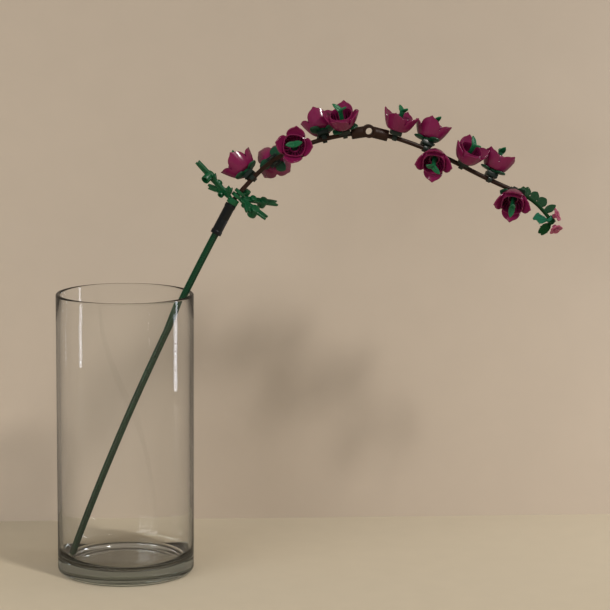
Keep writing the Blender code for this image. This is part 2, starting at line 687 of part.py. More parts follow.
def main():
    build_vase()
    stem_end, heading = build_stem()
    sleeve_foot = stem_end - heading_vector(heading) * STEM_IN_SLEEVE
    build_sleeve(sleeve_foot, heading)
    rod_start = sleeve_foot + heading_vector(heading) * (SLEEVE_LENGTH - ROD_IN_SLEEVE)
    lower = build_rod("branch_rod_lower", rod_start, heading, LOWER_ROD_ARCS)
    left = lower[1][-1]
    hole = lower[0][-1] + heading_vector(left) * (ELBOW_ARM - ROD_IN_ELBOW)
    build_elbow(hole, left)
    right = left - ELBOW_BEND
    upper_start = hole + heading_vector(right) * (ELBOW_ARM - ROD_IN_ELBOW)
    upper = build_rod("branch_rod_upper", upper_start, right, UPPER_ROD_ARCS)
    build_sprigs(lower)
    build_blossoms({"lower": trimmed(lower, ROD_IN_SLEEVE), "upper": trimmed(upper, ROD_IN_ELBOW)})
    vine_start = upper[0][-1] + heading_vector(upper[1][-1]) * GAP
    vine = build_tip(vine_start, upper[1][-1])
    build_tip_leaf("tip_leaf_teal", TEAL, vine, 29, 184, TEAL_LEAF, 1)
    build_tip_leaf("tip_leaf_dark", DARK_GREEN, vine, 31.8, 226, DARK_LEAF, -1)
    build_tip_blossoms(vine)


def trimmed(route, distance):
    """The route from a distance along it."""
    points, headings = route
    start, heading = station(route, distance)
    walked = 0.0
    for i in range(1, len(points)):
        walked += (points[i] - points[i - 1]).length
        if walked > distance + 1e-9:
            return [start, *points[i:]], [heading, *headings[i:]]


main()
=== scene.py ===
"""Clip-together spray of blossoms leaning in a clear glass cylinder vase.

Every piece is remade in full detail in the place of its plain solid: the glass vase, the ribbed
stem, the sleeve, the bent rods and their connector, eleven clipped blossoms with their leaf
whorls and sprouts, the leaf sprigs and the leafy tip.
"""

import math
from typing import NamedTuple

import bmesh
import bpy
import numpy as np
from bpy.props import FloatProperty, FloatVectorProperty, IntProperty, PointerProperty
from mathutils import Matrix, Vector


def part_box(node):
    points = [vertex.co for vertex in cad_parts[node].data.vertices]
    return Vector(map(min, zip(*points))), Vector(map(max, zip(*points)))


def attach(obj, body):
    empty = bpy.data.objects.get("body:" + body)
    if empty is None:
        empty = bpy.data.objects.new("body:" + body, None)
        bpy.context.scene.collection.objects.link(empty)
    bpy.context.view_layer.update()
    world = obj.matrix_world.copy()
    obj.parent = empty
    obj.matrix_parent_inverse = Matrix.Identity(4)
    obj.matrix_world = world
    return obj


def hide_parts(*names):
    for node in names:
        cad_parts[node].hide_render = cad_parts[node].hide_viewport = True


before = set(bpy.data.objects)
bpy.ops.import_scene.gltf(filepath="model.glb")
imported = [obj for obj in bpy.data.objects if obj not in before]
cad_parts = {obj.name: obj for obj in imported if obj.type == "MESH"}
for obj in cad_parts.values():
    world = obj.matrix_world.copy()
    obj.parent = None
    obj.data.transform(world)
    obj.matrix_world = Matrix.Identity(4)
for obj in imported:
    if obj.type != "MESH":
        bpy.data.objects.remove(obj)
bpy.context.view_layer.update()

bl_info = {
    "name": "Blossom Spray in a Glass Vase",
    "version": (1, 0, 0),
    "blender": (4, 5, 0),
    "location": "View3D > Sidebar > Blossom Spray",
    "description": "Builds a moulded blossom spray, its vase and a plain stage",
    "category": "Add Mesh",
}

MM = 0.001

# The spray's route, as in the solids: arcs are (length, heading at the end in degrees)
STEM_FOOT = Vector((-38.9 * MM, 0, 10.25 * MM))
STEM_HEADING = 69.8
STEM_IN_SLEEVE = 11.4 * MM
STEM_ARCS = ((253.4 * MM, 62.4), (STEM_IN_SLEEVE, 62.4))
SLEEVE_LENGTH = 23.6 * MM
ROD_IN_SLEEVE = 11.2 * MM
ROD_IN_ELBOW = 7.4 * MM
LOWER_ROD_ARCS = ((ROD_IN_SLEEVE, 62.4), (8 * MM, 48.7), (20 * MM, 45.7), (25 * MM, 26.4),
                  (30 * MM, 13.7), (18.2 * MM, 8.5), (ROD_IN_ELBOW, 8.5))
UPPER_ROD_ARCS = ((ROD_IN_ELBOW, -14), (25 * MM, -21.5), (37 * MM, -27.5), (42 * MM, -22))
VINE_ARCS = ((7 * MM, -32), (13 * MM, -48), (13.5 * MM, -54))
ELBOW_ARM = 12.4 * MM
ELBOW_LONG_ARM = 13.8 * MM
ELBOW_BEND = 22.5
ELBOW_SOCKET = 8 * MM
ELBOW_DEPTH = 4.2 * MM
GAP = 0.3 * MM
EASE = 0.3 * MM


class Blossom(NamedTuple):
    """Where a blossom is clipped: its rod, its distance along it in mm and, in degrees, the side
    that it points to, the turns of its petals, sprout and leaf whorl, and its lean back."""
    name: str
    rod: str
    distance: float
    side: float
    petals: float
    sprout: float
    whorl: float | None
    lean: float


BLOSSOMS = tuple(Blossom(*row) for row in (
    ("01", "lower", 24.0, -33, 8, 134, 100, 0),
    ("02", "lower", 43.0, -100, 66, 0, 72, 0),
    ("03", "lower", 60.1, 74, 59.5, 166, None, 0),
    ("04", "lower", 82.0, -45, 80, 10, 100, 0),
    ("05", "lower", 96.5, 28, 70, 136, -18, 3.5),
    ("06", "upper", 6.2, 5, 64, 115, None, 0),
    ("07", "upper", 29.4, -22, 68, 116, 60, 0),
    ("08", "upper", 37.4, 118, 20.5, 170, None, 0),
    ("09", "upper", 58.0, 28, 20, 128, None, 0),
    ("10", "upper", 80.4, -12, 41, 94, 75, 0),
    ("11", "upper", 100.0, 122, 17, 103, 60, 0),
))
PLATE_SIDE = 8 * MM
PLATE_UNDER = 2.2 * MM
PLATE_HEIGHT = 3.1 * MM
STUD_RADIUS = 2.4 * MM
STUD_HEIGHT = 1.7 * MM
CLIP_WIDTH = 3.2 * MM
CLIP_INNER = 1.85 * MM
CLIP_OUTER = 2.9 * MM
CLIP_MOUTH = 50  # degrees open on each side of straight down
PETAL_POINT = (0.8 * MM, 1.2 * MM)  # how far a petal's point stands out and up
WHORL_THICKNESS = 1.6 * MM
SEAT = PLATE_UNDER + PLATE_HEIGHT + GAP  # from a rod's axis to what sits on a clip plate
PLACE_SLACK = 1.2 * MM  # how far a piece's box may differ from that of its solids


# ---------------- sizes and colours

def linear(code):
    """An sRGB hex colour as the linear values that shaders take."""
    parts = [int(code[i:i + 2], 16) / 255 for i in (1, 3, 5)]
    return tuple(c / 12.92 if c <= 0.04045 else ((c + 0.055) / 1.055) ** 2.4 for c in parts)


def length(name, description, millimetres):
    return FloatProperty(name=name, description=description, default=millimetres * MM,
                         min=0.0, precision=5, unit="LENGTH")


def colour(name, description, code):
    return FloatVectorProperty(name=name, description=description, default=linear(code), size=3,
                               min=0.0, max=1.0, subtype="COLOR")


class SprayVaseSettings(bpy.types.PropertyGroup):
    """Sizes of the glass cylinder."""
    radius: length("Radius", "Outer radius of the cylinder", 48.5)
    bore: length("Bore", "Inner radius of the cylinder", 45.7)
    height: length("Height", "Height of the rim", 200)
    floor: length("Floor", "Thickness of the glass bottom", 9)
    corner: length("Inner corner", "Radius where the bore meets the floor", 10)
    tint: colour("Tint", "What the thick bottom tints light to", "#8FB5A4")
    steps: IntProperty(name="Steps", description="Faces round the cylinder", default=144, min=24)


class SprayBranchSettings(bpy.types.PropertyGroup):
    """Sizes and colours of the stem, sleeve, rods and connector."""
    stem_width: length("Stem width", "Width over the stem's ribs", 4.8)
    stem_rib: length("Stem rib", "Thickness of one rib of the stem", 1.8)
    rod_radius: length("Rod radius", "Radius of the bent rods", 1.6)
    sleeve_radius: length("Sleeve radius", "Radius between the sleeve's collars", 3.65)
    collar_radius: length("Collar radius", "Radius of the sleeve's end collars", 3.95)
    arm_radius: length("Arm radius", "Radius of the connector's arms", 4)
    eye_radius: length("Eye radius", "Radius of the connector's eye", 4.6)
    stem_colour: colour("Stem", "Colour of the ribbed stem", "#063A21")
    rod_colour: colour("Rods", "Colour of the rods and the connector", "#2B170C")
    sleeve_colour: colour("Sleeve", "Colour of the sleeve", "#070C0E")


class SprayBlossomSettings(bpy.types.PropertyGroup):
    """Sizes and colours of the clipped blossoms."""
    cup_wall: length("Wall", "Thickness of the petals", 0.9)
    cup_hole: length("Hole", "Radius of the hole for the stud", 2.75)
    base: length("Base", "Radius of the flat base", 6.2)
    inner_cup: length("Inner cup", "Half the width of the square cup between the petals", 7.9)
    inner_height: length("Inner height", "Height of the square cup's ridge", 10.2)
    reach: length("Petal reach", "From the axis to a petal's point", 13.4)
    height: length("Petal height", "Height of a petal's point over the base", 12.9)
    notch: length("Petal notch", "From the axis to the notch between two petals", 9.7)
    notch_height: length("Notch height", "Height of the notch over the base", 5.4)
    petal_colour: colour("Petals", "Colour of the petals", "#701641")
    plate_colour: colour("Clip plates", "Colour of the clip plates", "#18231D")
    sprout_colour: colour("Sprouts", "Colour of the sprouts in the cups", "#125E39")
    whorl_colour: colour("Leaf whorls", "Colour of the leaves under the cups", "#0D3F27")


class SprayLeafSettings(bpy.types.PropertyGroup):
    """Sizes and colours of the sprigs and the leafy tip."""
    sprig_thickness: length("Sprig thickness", "Thickness of the sprigs' lobes", 2)
    sprig_hub: length("Sprig hub", "Radius of the sprigs' hubs", 4)
    vine_radius: length("Vine radius", "Radius of the vine at its root", 1.6)
    tip_blossom: length("Tip blossom", "Reach of a small blossom's petals", 5.2)
    sprig_colour: colour("Sprigs", "Colour of the leaf sprigs", "#0C4D2B")
    vine_colour: colour("Vine", "Colour of the vine and its leaflets", "#0D3A1A")
    teal_colour: colour("Teal leaf", "Colour of the broad leaf at the tip", "#146B4E")
    rose_colour: colour("Tip blossoms", "Colour of the small blossoms", "#9C4460")


class SprayStageSettings(bpy.types.PropertyGroup):
    """The plain stage."""
    floor_colour: colour("Floor", "Colour of the floor", "#C6BAA3")
    wall_colour: colour("Backdrop", "Colour of the backdrop", "#BFB1A0")
    wall_distance: FloatProperty(name="Backdrop distance", description="From the vase to the wall",
                                 default=0.138, unit="LENGTH")
    lens: FloatProperty(name="Lens", description="Focal length on a 36 mm sensor", default=132.07)


SETTINGS = (("spray_vase", SprayVaseSettings), ("spray_branch", SprayBranchSettings),
            ("spray_blossom", SprayBlossomSettings), ("spray_leaf", SprayLeafSettings),
            ("spray_stage", SprayStageSettings))


# ---------------- nodes and materials

def fill(tree, node, inputs):
    """Fills the node's sockets, each with a value, a link or another node's first output."""
    for name, value in inputs.items():
        if isinstance(value, bpy.types.Node):
            value = value.outputs[0]
        if isinstance(value, bpy.types.NodeSocket):
            tree.links.new(value, node.inputs[name])
        else:
            node.inputs[name].default_value = value
    return node


def add_node(tree, kind, inputs=None, **settings):
    """Adds a node: settings are its own properties, and inputs fill its sockets."""
    made = tree.nodes.new(kind)
    for name, value in settings.items():
        setattr(made, name, value)
    return fill(tree, made, inputs or {})


def shader_tree(name):
    """A new material with its tree, its shader and the coordinates that patterns follow."""
    made = bpy.data.materials.new(name)
    made.use_nodes = True
    tree = made.node_tree
    place = add_node(tree, "ShaderNodeTexCoord").outputs["Object"]
    return made, tree, tree.nodes["Principled BSDF"], place


def mottling(tree, place, size, detail, seen, values, **more):
    """Blotches of this size: the noise's two seen levels become these two values."""
    noise = add_node(tree, "ShaderNodeTexNoise", {"Vector": place, "Scale": 1 / size,
                                                  "Detail": detail, **more})
    return add_node(tree, "ShaderNodeMapRange", {
        "Value": noise, "From Min": seen[0], "From Max": seen[1], "To Min": values[0],
        "To Max": values[1]})


def rippling(tree, place, size, strength, height):
    """Soft ripples of this size and height."""
    noise = add_node(tree, "ShaderNodeTexNoise", {"Vector": place, "Scale": 1 / size,
                                                  "Detail": 1.0})
    return add_node(tree, "ShaderNodeBump", {"Height": noise, "Strength": strength,
                                             "Distance": height})


def moulded_plastic(name, tone, roughness, level=0.5):
    """Injection-moulded plastic: an even colour with faint flow marks, a soft gloss broken by
    fine handling marks, and the slight ripple that a mould leaves on thin walls."""
    made, tree, shader, place = shader_tree(name)
    # Flow marks are some 6 mm apart, where the melt slowed down
    flow = mottling(tree, place, 6 * MM, 3.0, (0.25, 0.75), (0.93, 1.07), Distortion=0.6)
    tinted = add_node(tree, "ShaderNodeHueSaturation", {"Value": flow, "Color": (*tone, 1)})
    # Handling marks are 0.8 mm across: finer ones wouldn't show
    gloss = mottling(tree, place, 0.8 * MM, 2.0, (0.3, 0.7), (roughness * 0.82, roughness * 1.2))
    fill(tree, shader, {"Base Color": tinted, "Roughness": gloss,
                        "Normal": rippling(tree, place, 1.6 * MM, 0.12, 0.05 * MM),
                        "IOR": 1.52, "Specular IOR Level": level})
    return made


def moulded_glass(name, tint):
    """Soda-lime glass, blown in a mould: clear, with faint upright ripples, dull finger marks
    here and there, and a green that shows mostly through the thick bottom."""
    made, tree, shader, place = shader_tree(name)
    # Ripples run up the wall: 18 mm across and several times as tall
    upright = add_node(tree, "ShaderNodeMapping", {"Vector": place, "Scale": (1, 1, 0.16)})
    fill(tree, shader, {
        "Base Color": (1, 1, 1, 1), "Transmission Weight": 1.0, "IOR": 1.5,
        "Roughness": mottling(tree, place, 24 * MM, 4.0, (0.5, 0.8), (0.0, 0.02)),
        "Normal": rippling(tree, upright, 18 * MM, 0.15, 0.3 * MM)})
    depth = add_node(tree, "ShaderNodeVolumeAbsorption", {"Color": (*tint, 1), "Density": 6.5})
    fill(tree, tree.nodes["Material Output"], {"Volume": depth})
    return made


def mirror_dimmer(tree):
    """1 where a surface is seen directly or through clear glass, and 0.55 in mirror reflections, a
    painted shade that darkens the stage in reflections: Glossy Depth counts mirror bounces only."""
    bounces = add_node(tree, "ShaderNodeLightPath").outputs["Glossy Depth"]
    return add_node(tree, "ShaderNodeMapRange", {"Value": bounces, "To Min": 1.0, "To Max": 0.55})


def painted_surface(name, tone, grain, low=1.0, high=1.0):
    """A matt stage surface: an even colour with a barely seen mottle, and a painted shade from low
    to high brightness over the first 450 mm above the floor. Mirror reflections show it dimmer, a
    painted shade in reflections."""
    made, tree, shader, place = shader_tree(name)
    height = add_node(tree, "ShaderNodeSeparateXYZ", {"Vector": place}).outputs["Z"]
    # Painted shade: the colour goes from low to high brightness with height, darker towards the top
    # on the wall
    painted_shade_by_height = add_node(tree, "ShaderNodeMapRange", {"Value": height, "From Max": 450 * MM,
                                                 "To Min": low, "To Max": high})
    value = mottling(tree, place, grain, 4.0, (0.0, 1.0), (0.97, 1.03))
    # The mirror factor is painted shade: the stage's colour is darker in reflections
    for factor in (painted_shade_by_height, mirror_dimmer(tree)):
        value = add_node(tree, "ShaderNodeMath", {0: value, 1: factor}, operation="MULTIPLY")
    tinted = add_node(tree, "ShaderNodeHueSaturation", {"Value": value, "Color": (*tone, 1)})
    fill(tree, shader, {"Base Color": tinted, "Roughness": 0.7, "Specular IOR Level": 0.2})
    return made


# ---------------- mesh helpers

def linked(name, data):
    obj = bpy.data.objects.new(name, data)
    bpy.context.scene.collection.objects.link(obj)
    return obj


def as_mesh(work, mesh=None):
    """Writes the bmesh to this mesh, or to a new one, and frees it."""
    mesh = mesh or bpy.data.meshes.new("piece")
    work.to_mesh(mesh)
    work.free()
    return mesh


def baked(obj):
    """The object's evaluated mesh, welded and facing out; the object itself is removed."""
    bpy.context.view_layer.update()
    graph = bpy.context.evaluated_depsgraph_get()
    mesh = bpy.data.meshes.new_from_object(obj.evaluated_get(graph))
    bpy.data.objects.remove(obj, do_unlink=True)
    work = bmesh.new()
    work.from_mesh(mesh)
    bmesh.ops.remove_doubles(work, verts=work.verts, dist=1e-6)
    bmesh.ops.dissolve_degenerate(work, edges=work.edges, dist=1e-7)
    bmesh.ops.recalc_face_normals(work, faces=work.faces)
    return as_mesh(work, mesh)


def combined(base, others, operation="UNION"):
    """The base mesh with each other mesh joined to it, or cut from it."""
    body = linked("body", base)
    tools = [linked("tool", mesh) for mesh in others]
    for tool in tools:
        modifier = body.modifiers.new("step", "BOOLEAN")
        modifier.operation = operation
        modifier.solver = "MANIFOLD"
        modifier.object = tool
    mesh = baked(body)
    for tool in tools:
        bpy.data.objects.remove(tool, do_unlink=True)
    return mesh


def joined(meshes):
    """The meshes side by side in one."""
    work = bmesh.new()
    for mesh in meshes:
        work.from_mesh(mesh)
    return as_mesh(work)


def moved(mesh, matrix):
    mesh.transform(matrix)
    return mesh


def mm(*points):
    """Points given in millimetres, in metres."""
    return [(x * MM, y * MM) for x, y in points]


def mirrored(half, middle=0.0):
    """Half an outline, closed by its mirror image about the height of its middle."""
    return [*half, *((x, 2 * middle - y) for x, y in reversed(half) if y != middle)]


def skinned(rings, closed=False):
    """A skin over rings of points; a ring of one point is a pole. The last ring joins the first
    if it is closed, and otherwise each end that isn't a pole is capped."""
    work = bmesh.new()
    rows = [[work.verts.new(point) for point in ring] for ring in rings]
    for low, high in zip(rows, [*rows[1:], rows[0]] if closed else rows[1:]):
        for k in range(max(len(low), len(high))):
            corners = (low[k % len(low)], low[(k + 1) % len(low)],
                       high[(k + 1) % len(high)], high[k % len(high)])
            work.faces.new(list(dict.fromkeys(corners)))
    for end in () if closed else (rows[0], rows[-1]):
        if len(end) > 1:
            work.faces.new(end)
    bmesh.ops.recalc_face_normals(work, faces=work.faces)
    return as_mesh(work)


def circle(radius, count):
    return [(radius * math.cos(math.tau * i / count), radius * math.sin(math.tau * i / count))
            for i in range(count)]


def turned(profile, steps):
    """A turned mesh about Z from a profile of (radius, height) points, which is closed unless it
    starts and ends on the axis."""
    rings = [[(x, y, height) for x, y in circle(radius, steps if radius > 0 else 1)]
             for radius, height in profile]
    return skinned(rings, closed=profile[0][0] > 0)


def pin(radius, bottom, top, steps=32, place=Matrix()):
    """A round pin with rounded ends, along Z of its place."""
    edge = 0.25 * MM
    half = [(0, top), (radius - edge, top), (radius - edge * 0.3, top - edge * 0.3),
            (radius, top - edge)]
    return moved(turned(mirrored(half, (top + bottom) / 2), steps), place)


def block(size, centre, edge):
    """A box with rounded edges."""
    work = bmesh.new()
    bmesh.ops.create_cube(work, size=1)
    bmesh.ops.scale(work, verts=work.verts, vec=size)
    bmesh.ops.translate(work, verts=work.verts, vec=centre)
    obj = linked("block", as_mesh(work))
    bevel = obj.modifiers.new("edges", "BEVEL")
    bevel.width = edge
    bevel.segments = 2
    return baked(obj)


def moulded_plate(outline, thickness, edge=0.22 * MM):
    """A flat outline with rounded edges, even about z = 0."""
    curve = bpy.data.curves.new("plate", "CURVE")
    curve.dimensions = "2D"
    curve.fill_mode = "BOTH"
    curve.extrude = thickness / 2 - edge
    curve.bevel_depth = edge
    curve.bevel_resolution = 1
    curve.offset = -edge
    spline = curve.splines.new("POLY")
    spline.points.add(len(outline) - 1)
    spline.use_cyclic_u = True
    for corner, (x, y) in zip(spline.points, outline):
        corner.co = (x, y, 0, 1)
    return baked(linked("plate", curve))


def rounded(width, neck):
    """Half-width of a round leaflet at each share of its length."""
    return lambda share: (neck * (1 - share) ** 2
                          + width / 2 * math.sin(math.pi * share ** 1.06) ** 0.72)


def tapered(width):
    """Half-width of a leaflet that is broad at its root and narrows to a blunt tip."""
    return lambda share: width / 2 * (0.84 + 0.55 * share - 1.2 * share ** 2) * math.sqrt(
        max(0.0, 1 - share ** 8))


def leaflet(length, outline, thickness, cup, crease, groove=0.0):
    """A leaflet along +X with its face up. Cup lifts its sides, and along its middle a crease is
    pressed into its face and a groove into its underside."""
    count, around = 16, 24
    widest = max(outline(i / count) for i in range(count + 1))
    rings = []
    for i in range(count + 1):
        share = (1 - math.cos(math.pi * i / count)) / 2
        half = max(outline(share), 0.12 * MM)
        thick = thickness / 2 * min(1.0, 0.35 + 1.6 * math.sqrt(max(0.0, 1 - share)))
        ring = []
        for k in range(around):
            c, s = math.cos(math.tau * k / around), math.sin(math.tau * k / around)
            across = half * math.copysign(abs(c) ** 0.75, c)
            up = thick * math.copysign(abs(s) ** 0.75, s)
            middle = math.exp(-(across / (0.16 * widest)) ** 2) * (1 - share ** 2)
            up -= (crease if s > 0 else groove) * middle * s
            ring.append((length * share, across, up + cup * (across / widest) ** 2 * share))
        rings.append(ring)
    return skinned(rings)


# ---------------- Geometry Nodes

def geometry_tree(name, *sockets):
    """A tree that takes a geometry, a piece and a finish, and these named inputs."""
    tree = bpy.data.node_groups.new(name, "GeometryNodeTree")
    for label, kind in (("Geometry", "Geometry"), ("Piece", "Object"), ("Finish", "Material"),
                        *sockets):
        tree.interface.new_socket(label, in_out="INPUT", socket_type=f"NodeSocket{kind}")
    tree.interface.new_socket("Geometry", in_out="OUTPUT", socket_type="NodeSocketGeometry")
    return tree, add_node(tree, "NodeGroupInput").outputs


def end_tree(tree, geometry, finish):
    solid = add_node(tree, "GeometryNodeRealizeInstances", {"Geometry": geometry})
    coated = add_node(tree, "GeometryNodeSetMaterial", {"Geometry": solid, "Material": finish})
    add_node(tree, "NodeGroupOutput", {"Geometry": coated})
    return tree


def end_with_copies(tree, given, points, rotation):
    """Ends a tree with the given piece set on each of these points."""
    shape = add_node(tree, "GeometryNodeObjectInfo", {"Object": given["Piece"]})
    copies = add_node(tree, "GeometryNodeInstanceOnPoints", {
        "Points": points, "Instance": shape.outputs["Geometry"], "Rotation": rotation})
    return end_tree(tree, copies, given["Finish"])


def sweep_tree():
    """Carries a closed profile along the host's line of points, scaled by their girth."""
    tree, given = geometry_tree("Sweep along route")
    line = add_node(tree, "GeometryNodeMeshToCurve", {"Mesh": given["Geometry"]})
    level = add_node(tree, "GeometryNodeSetCurveNormal", {"Curve": line}, mode="Z_UP")
    shape = add_node(tree, "GeometryNodeObjectInfo", {"Object": given["Piece"]})
    ring = add_node(tree, "GeometryNodeMeshToCurve", {"Mesh": shape.outputs["Geometry"]})
    girth = add_node(tree, "GeometryNodeInputNamedAttribute", {"Name": "girth"}, data_type="FLOAT")
    skin = add_node(tree, "GeometryNodeCurveToMesh", {
        "Curve": level, "Profile Curve": ring, "Scale": girth, "Fill Caps": True})
    return end_tree(tree, skin, given["Finish"])


def place_tree():
    """Sets a piece on each of the host's points: its Z along outward, its X along the rod."""
    tree, given = geometry_tree("Place on route")
    outward, along, turn = (
        add_node(tree, "GeometryNodeInputNamedAttribute", {"Name": name}, data_type=kind)
        for name, kind in (("outward", "FLOAT_VECTOR"), ("along", "FLOAT_VECTOR"),
                           ("turn", "FLOAT")))
    facing = add_node(tree, "FunctionNodeAxesToRotation", {
        "Primary Axis": outward, "Secondary Axis": along}, primary_axis="Z", secondary_axis="X")
    turned_by = add_node(tree, "FunctionNodeAxisAngleToRotation", {"Axis": (0, 0, 1),
                                                                  "Angle": turn})
    pose = add_node(tree, "FunctionNodeRotateRotation", {
        "Rotation": facing, "Rotate By": turned_by}, rotation_space="LOCAL")
    return end_with_copies(tree, given, given["Geometry"], pose)


def ring_tree():
    """Repeats a piece evenly round Z."""
    tree, given = geometry_tree("Repeat round axis", ("Count", "Int"), ("Start", "Float"))
    points = add_node(tree, "GeometryNodePoints", {"Count": given["Count"]})
    index = add_node(tree, "GeometryNodeInputIndex")
    share = add_node(tree, "ShaderNodeMath", {0: index, 1: given["Count"]}, operation="DIVIDE")
    angle = add_node(tree, "ShaderNodeMath", {0: share, 1: math.tau, 2: given["Start"]},
                     operation="MULTIPLY_ADD")
    turned_by = add_node(tree, "FunctionNodeAxisAngleToRotation", {"Axis": (0, 0, 1),
                                                                  "Angle": angle})
    return end_with_copies(tree, given, points, turned_by)


def run_tree(build, host, piece, **values):
    """Runs a tree on the host mesh with this piece and these named inputs, as a plain mesh."""
    tree = bpy.data.node_groups.get(build.__name__)
    if tree is None:
        tree = build()
        tree.name = build.__name__
    values["Piece"] = linked("piece", piece)
    obj = linked("host", host)
    modifier = obj.modifiers.new("tree", "NODES")
    modifier.node_group = tree
    for item in tree.interface.items_tree:
        if item.in_out == "INPUT" and item.name in values:
            modifier[item.identifier] = values[item.name]
    mesh = baked(obj)
    bpy.data.objects.remove(values["Piece"], do_unlink=True)
    return mesh


def point_host(points, edges=(), **attributes):
    """A mesh of points that carries a value of each attribute on each point."""
    mesh = bpy.data.meshes.new("host")
    mesh.from_pydata([tuple(p) for p in points], list(edges), [])
    for name, values in attributes.items():
        vector = not isinstance(values[0], (int, float))
        layer = mesh.attributes.new(name, "FLOAT_VECTOR" if vector else "FLOAT", "POINT")
        layer.data.foreach_set("vector" if vector else "value", np.ravel(values).astype(float))
    return mesh


def swept(points, girth, profile, finish):
    """The profile, a closed outline in X and Y, swept along the points at their girth."""
    host = point_host(points, [(i, i + 1) for i in range(len(points) - 1)], girth=girth)
    outline = bpy.data.meshes.new("profile")
    outline.from_pydata([(x, y, 0) for x, y in profile],
                        [(i, (i + 1) % len(profile)) for i in range(len(profile))], [])
    return run_tree(sweep_tree, host, outline, Finish=finish)


def placed(piece, places, finish):
    """The piece set at each place: (point, outward, along, turn in radians)."""
    points, outward, along, turn = zip(*places)
    host = point_host(points, outward=outward, along=along, turn=turn)
    return run_tree(place_tree, host, piece, Finish=finish)


def ringed(piece, count, start=0.0):
    """The piece repeated evenly round Z."""
    return run_tree(ring_tree, bpy.data.meshes.new("host"), piece, Count=count,
                    Start=math.radians(start))


# ---------------- routes and places

def heading_vector(degrees):
    return Vector((math.cos(math.radians(degrees)), 0, math.sin(math.radians(degrees))))


def walk(start, heading, arcs, step):
    """Points and headings along arcs that follow one another in the plane y = 0."""
    points, headings = [start.copy()], [heading]
    for reach, end in arcs:
        count = max(1, round(reach / step))
        for i in range(count):
            middle = heading + (end - heading) * (i + 0.5) / count
            points.append(points[-1] + heading_vector(middle) * (reach / count))
            headings.append(heading + (end - heading) * (i + 1) / count)
        heading = end
    return points, headings


def station(route, distance):
    """Point and heading at a distance along a route."""
    points, headings = route
    for i in range(len(points) - 1):
        reach = (points[i + 1] - points[i]).length
        if distance <= reach or i == len(points) - 2:
            share = distance / reach
            return (points[i].lerp(points[i + 1], share),
                    headings[i] + (headings[i + 1] - headings[i]) * share)
        distance -= reach


def axes(origin, z_axis, x_axis):
    """Matrix of a frame with these Z and X directions."""
    z_axis = z_axis.normalized()
    x_axis = (x_axis - z_axis * x_axis.dot(z_axis)).normalized()
    matrix = Matrix((x_axis, z_axis.cross(x_axis), z_axis)).transposed().to_4x4()
    matrix.translation = origin
    return matrix


def along_branch(origin, heading):
    """Matrix of a frame whose Z runs at this heading in the branch's plane and X to the back."""
    return axes(origin, heading_vector(heading), Vector((0, 1, 0)))


def spin(degrees, axis="Z"):
    return Matrix.Rotation(math.radians(degrees), 4, axis)


def shift(x=0.0, y=0.0, z=0.0):
    return Matrix.Translation((x, y, z))


STEM = walk(STEM_FOOT, STEM_HEADING, STEM_ARCS, 12 * MM)
SLEEVE_FOOT = STEM[0][-1] - heading_vector(STEM[1][-1]) * STEM_IN_SLEEVE
SLEEVE_HEADING = STEM[1][-1]
LOWER_ROD = walk(SLEEVE_FOOT + heading_vector(SLEEVE_HEADING) * (SLEEVE_LENGTH - ROD_IN_SLEEVE),
                 SLEEVE_HEADING, LOWER_ROD_ARCS, 5 * MM)
ELBOW_LEFT = LOWER_ROD[1][-1]
ELBOW_RIGHT = ELBOW_LEFT - ELBOW_BEND
ELBOW_HOLE = LOWER_ROD[0][-1] + heading_vector(ELBOW_LEFT) * (ELBOW_ARM - ROD_IN_ELBOW)
UPPER_ROD = walk(ELBOW_HOLE + heading_vector(ELBOW_RIGHT) * (ELBOW_ARM - ROD_IN_ELBOW),
                 ELBOW_RIGHT, UPPER_ROD_ARCS, 5 * MM)
VINE = walk(UPPER_ROD[0][-1] + heading_vector(UPPER_ROD[1][-1]) * GAP, UPPER_ROD[1][-1],
            VINE_ARCS, 2.5 * MM)
RODS = {"lower": (LOWER_ROD, ROD_IN_SLEEVE), "upper": (UPPER_ROD, ROD_IN_ELBOW)}


def set_on_clips(name, piece, finish, slot, node, turn=None, height=SEAT):
    """Sets the piece on the clips, at this height over the rods' axes. It is turned by the value
    of each blossom that turn names. Whorls go only where there is one, under cup and sprout."""
    blossoms = [row for row in BLOSSOMS if row.whorl is not None or turn != "whorl"]
    places = []
    for row in blossoms:
        route, inside = RODS[row.rod]
        point, heading = station(route, row.distance * MM + inside)
        side, lean = math.radians(row.side), math.radians(row.lean)
        along = heading_vector(heading)
        outward = (heading_vector(heading + 90) * math.cos(side)
                   + Vector((0, -1, 0)) * math.sin(side))
        outward, along = (outward * math.cos(lean) - along * math.sin(lean),
                          along * math.cos(lean) + outward * math.sin(lean))
        on_whorl = row.whorl is not None and turn in ("petals", "sprout")
        lift = height + (WHORL_THICKNESS + GAP if on_whorl else 0.0)
        places.append((point + outward * lift, outward, along,
                       math.radians(getattr(row, turn)) if turn else 0.0))
    finished(name, placed(piece, places, finish), finish, slot,
             *(f"{node}_{row.name}" for row in blossoms))


def finished(name, mesh, finish, slot, *nodes):
    """Hands a finished piece to the frame: it stands for these solids and rides on the body."""
    mesh.name = name
    mesh.materials.clear()
    mesh.materials.append(finish)
    mesh.shade_smooth()
    mesh.set_sharp_from_angle(angle=math.radians(32))
    obj = linked(name, mesh)
    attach(obj, "root")
    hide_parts(*nodes)
    check_place(obj, nodes)


def check_place(obj, nodes):
    """Stops the script where a piece has left the place of its solids."""
    low, high = (np.array(side) for side in zip(*[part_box(node) for node in nodes]))
    corners = np.empty(len(obj.data.vertices) * 3)
    obj.data.vertices.foreach_get("co", corners)
    corners = corners.reshape(-1, 3)
    off = max(abs(corners.min(axis=0) - low.min(axis=0)).max(),
              abs(corners.max(axis=0) - high.max(axis=0)).max())
    print(f"{obj.name}: {off / MM:.2f} mm from its solids, {len(obj.data.polygons)} faces")
    if off > PLACE_SLACK:
        raise RuntimeError(f"{obj.name} is {off / MM:.1f} mm off its solids")


# ---------------- vase

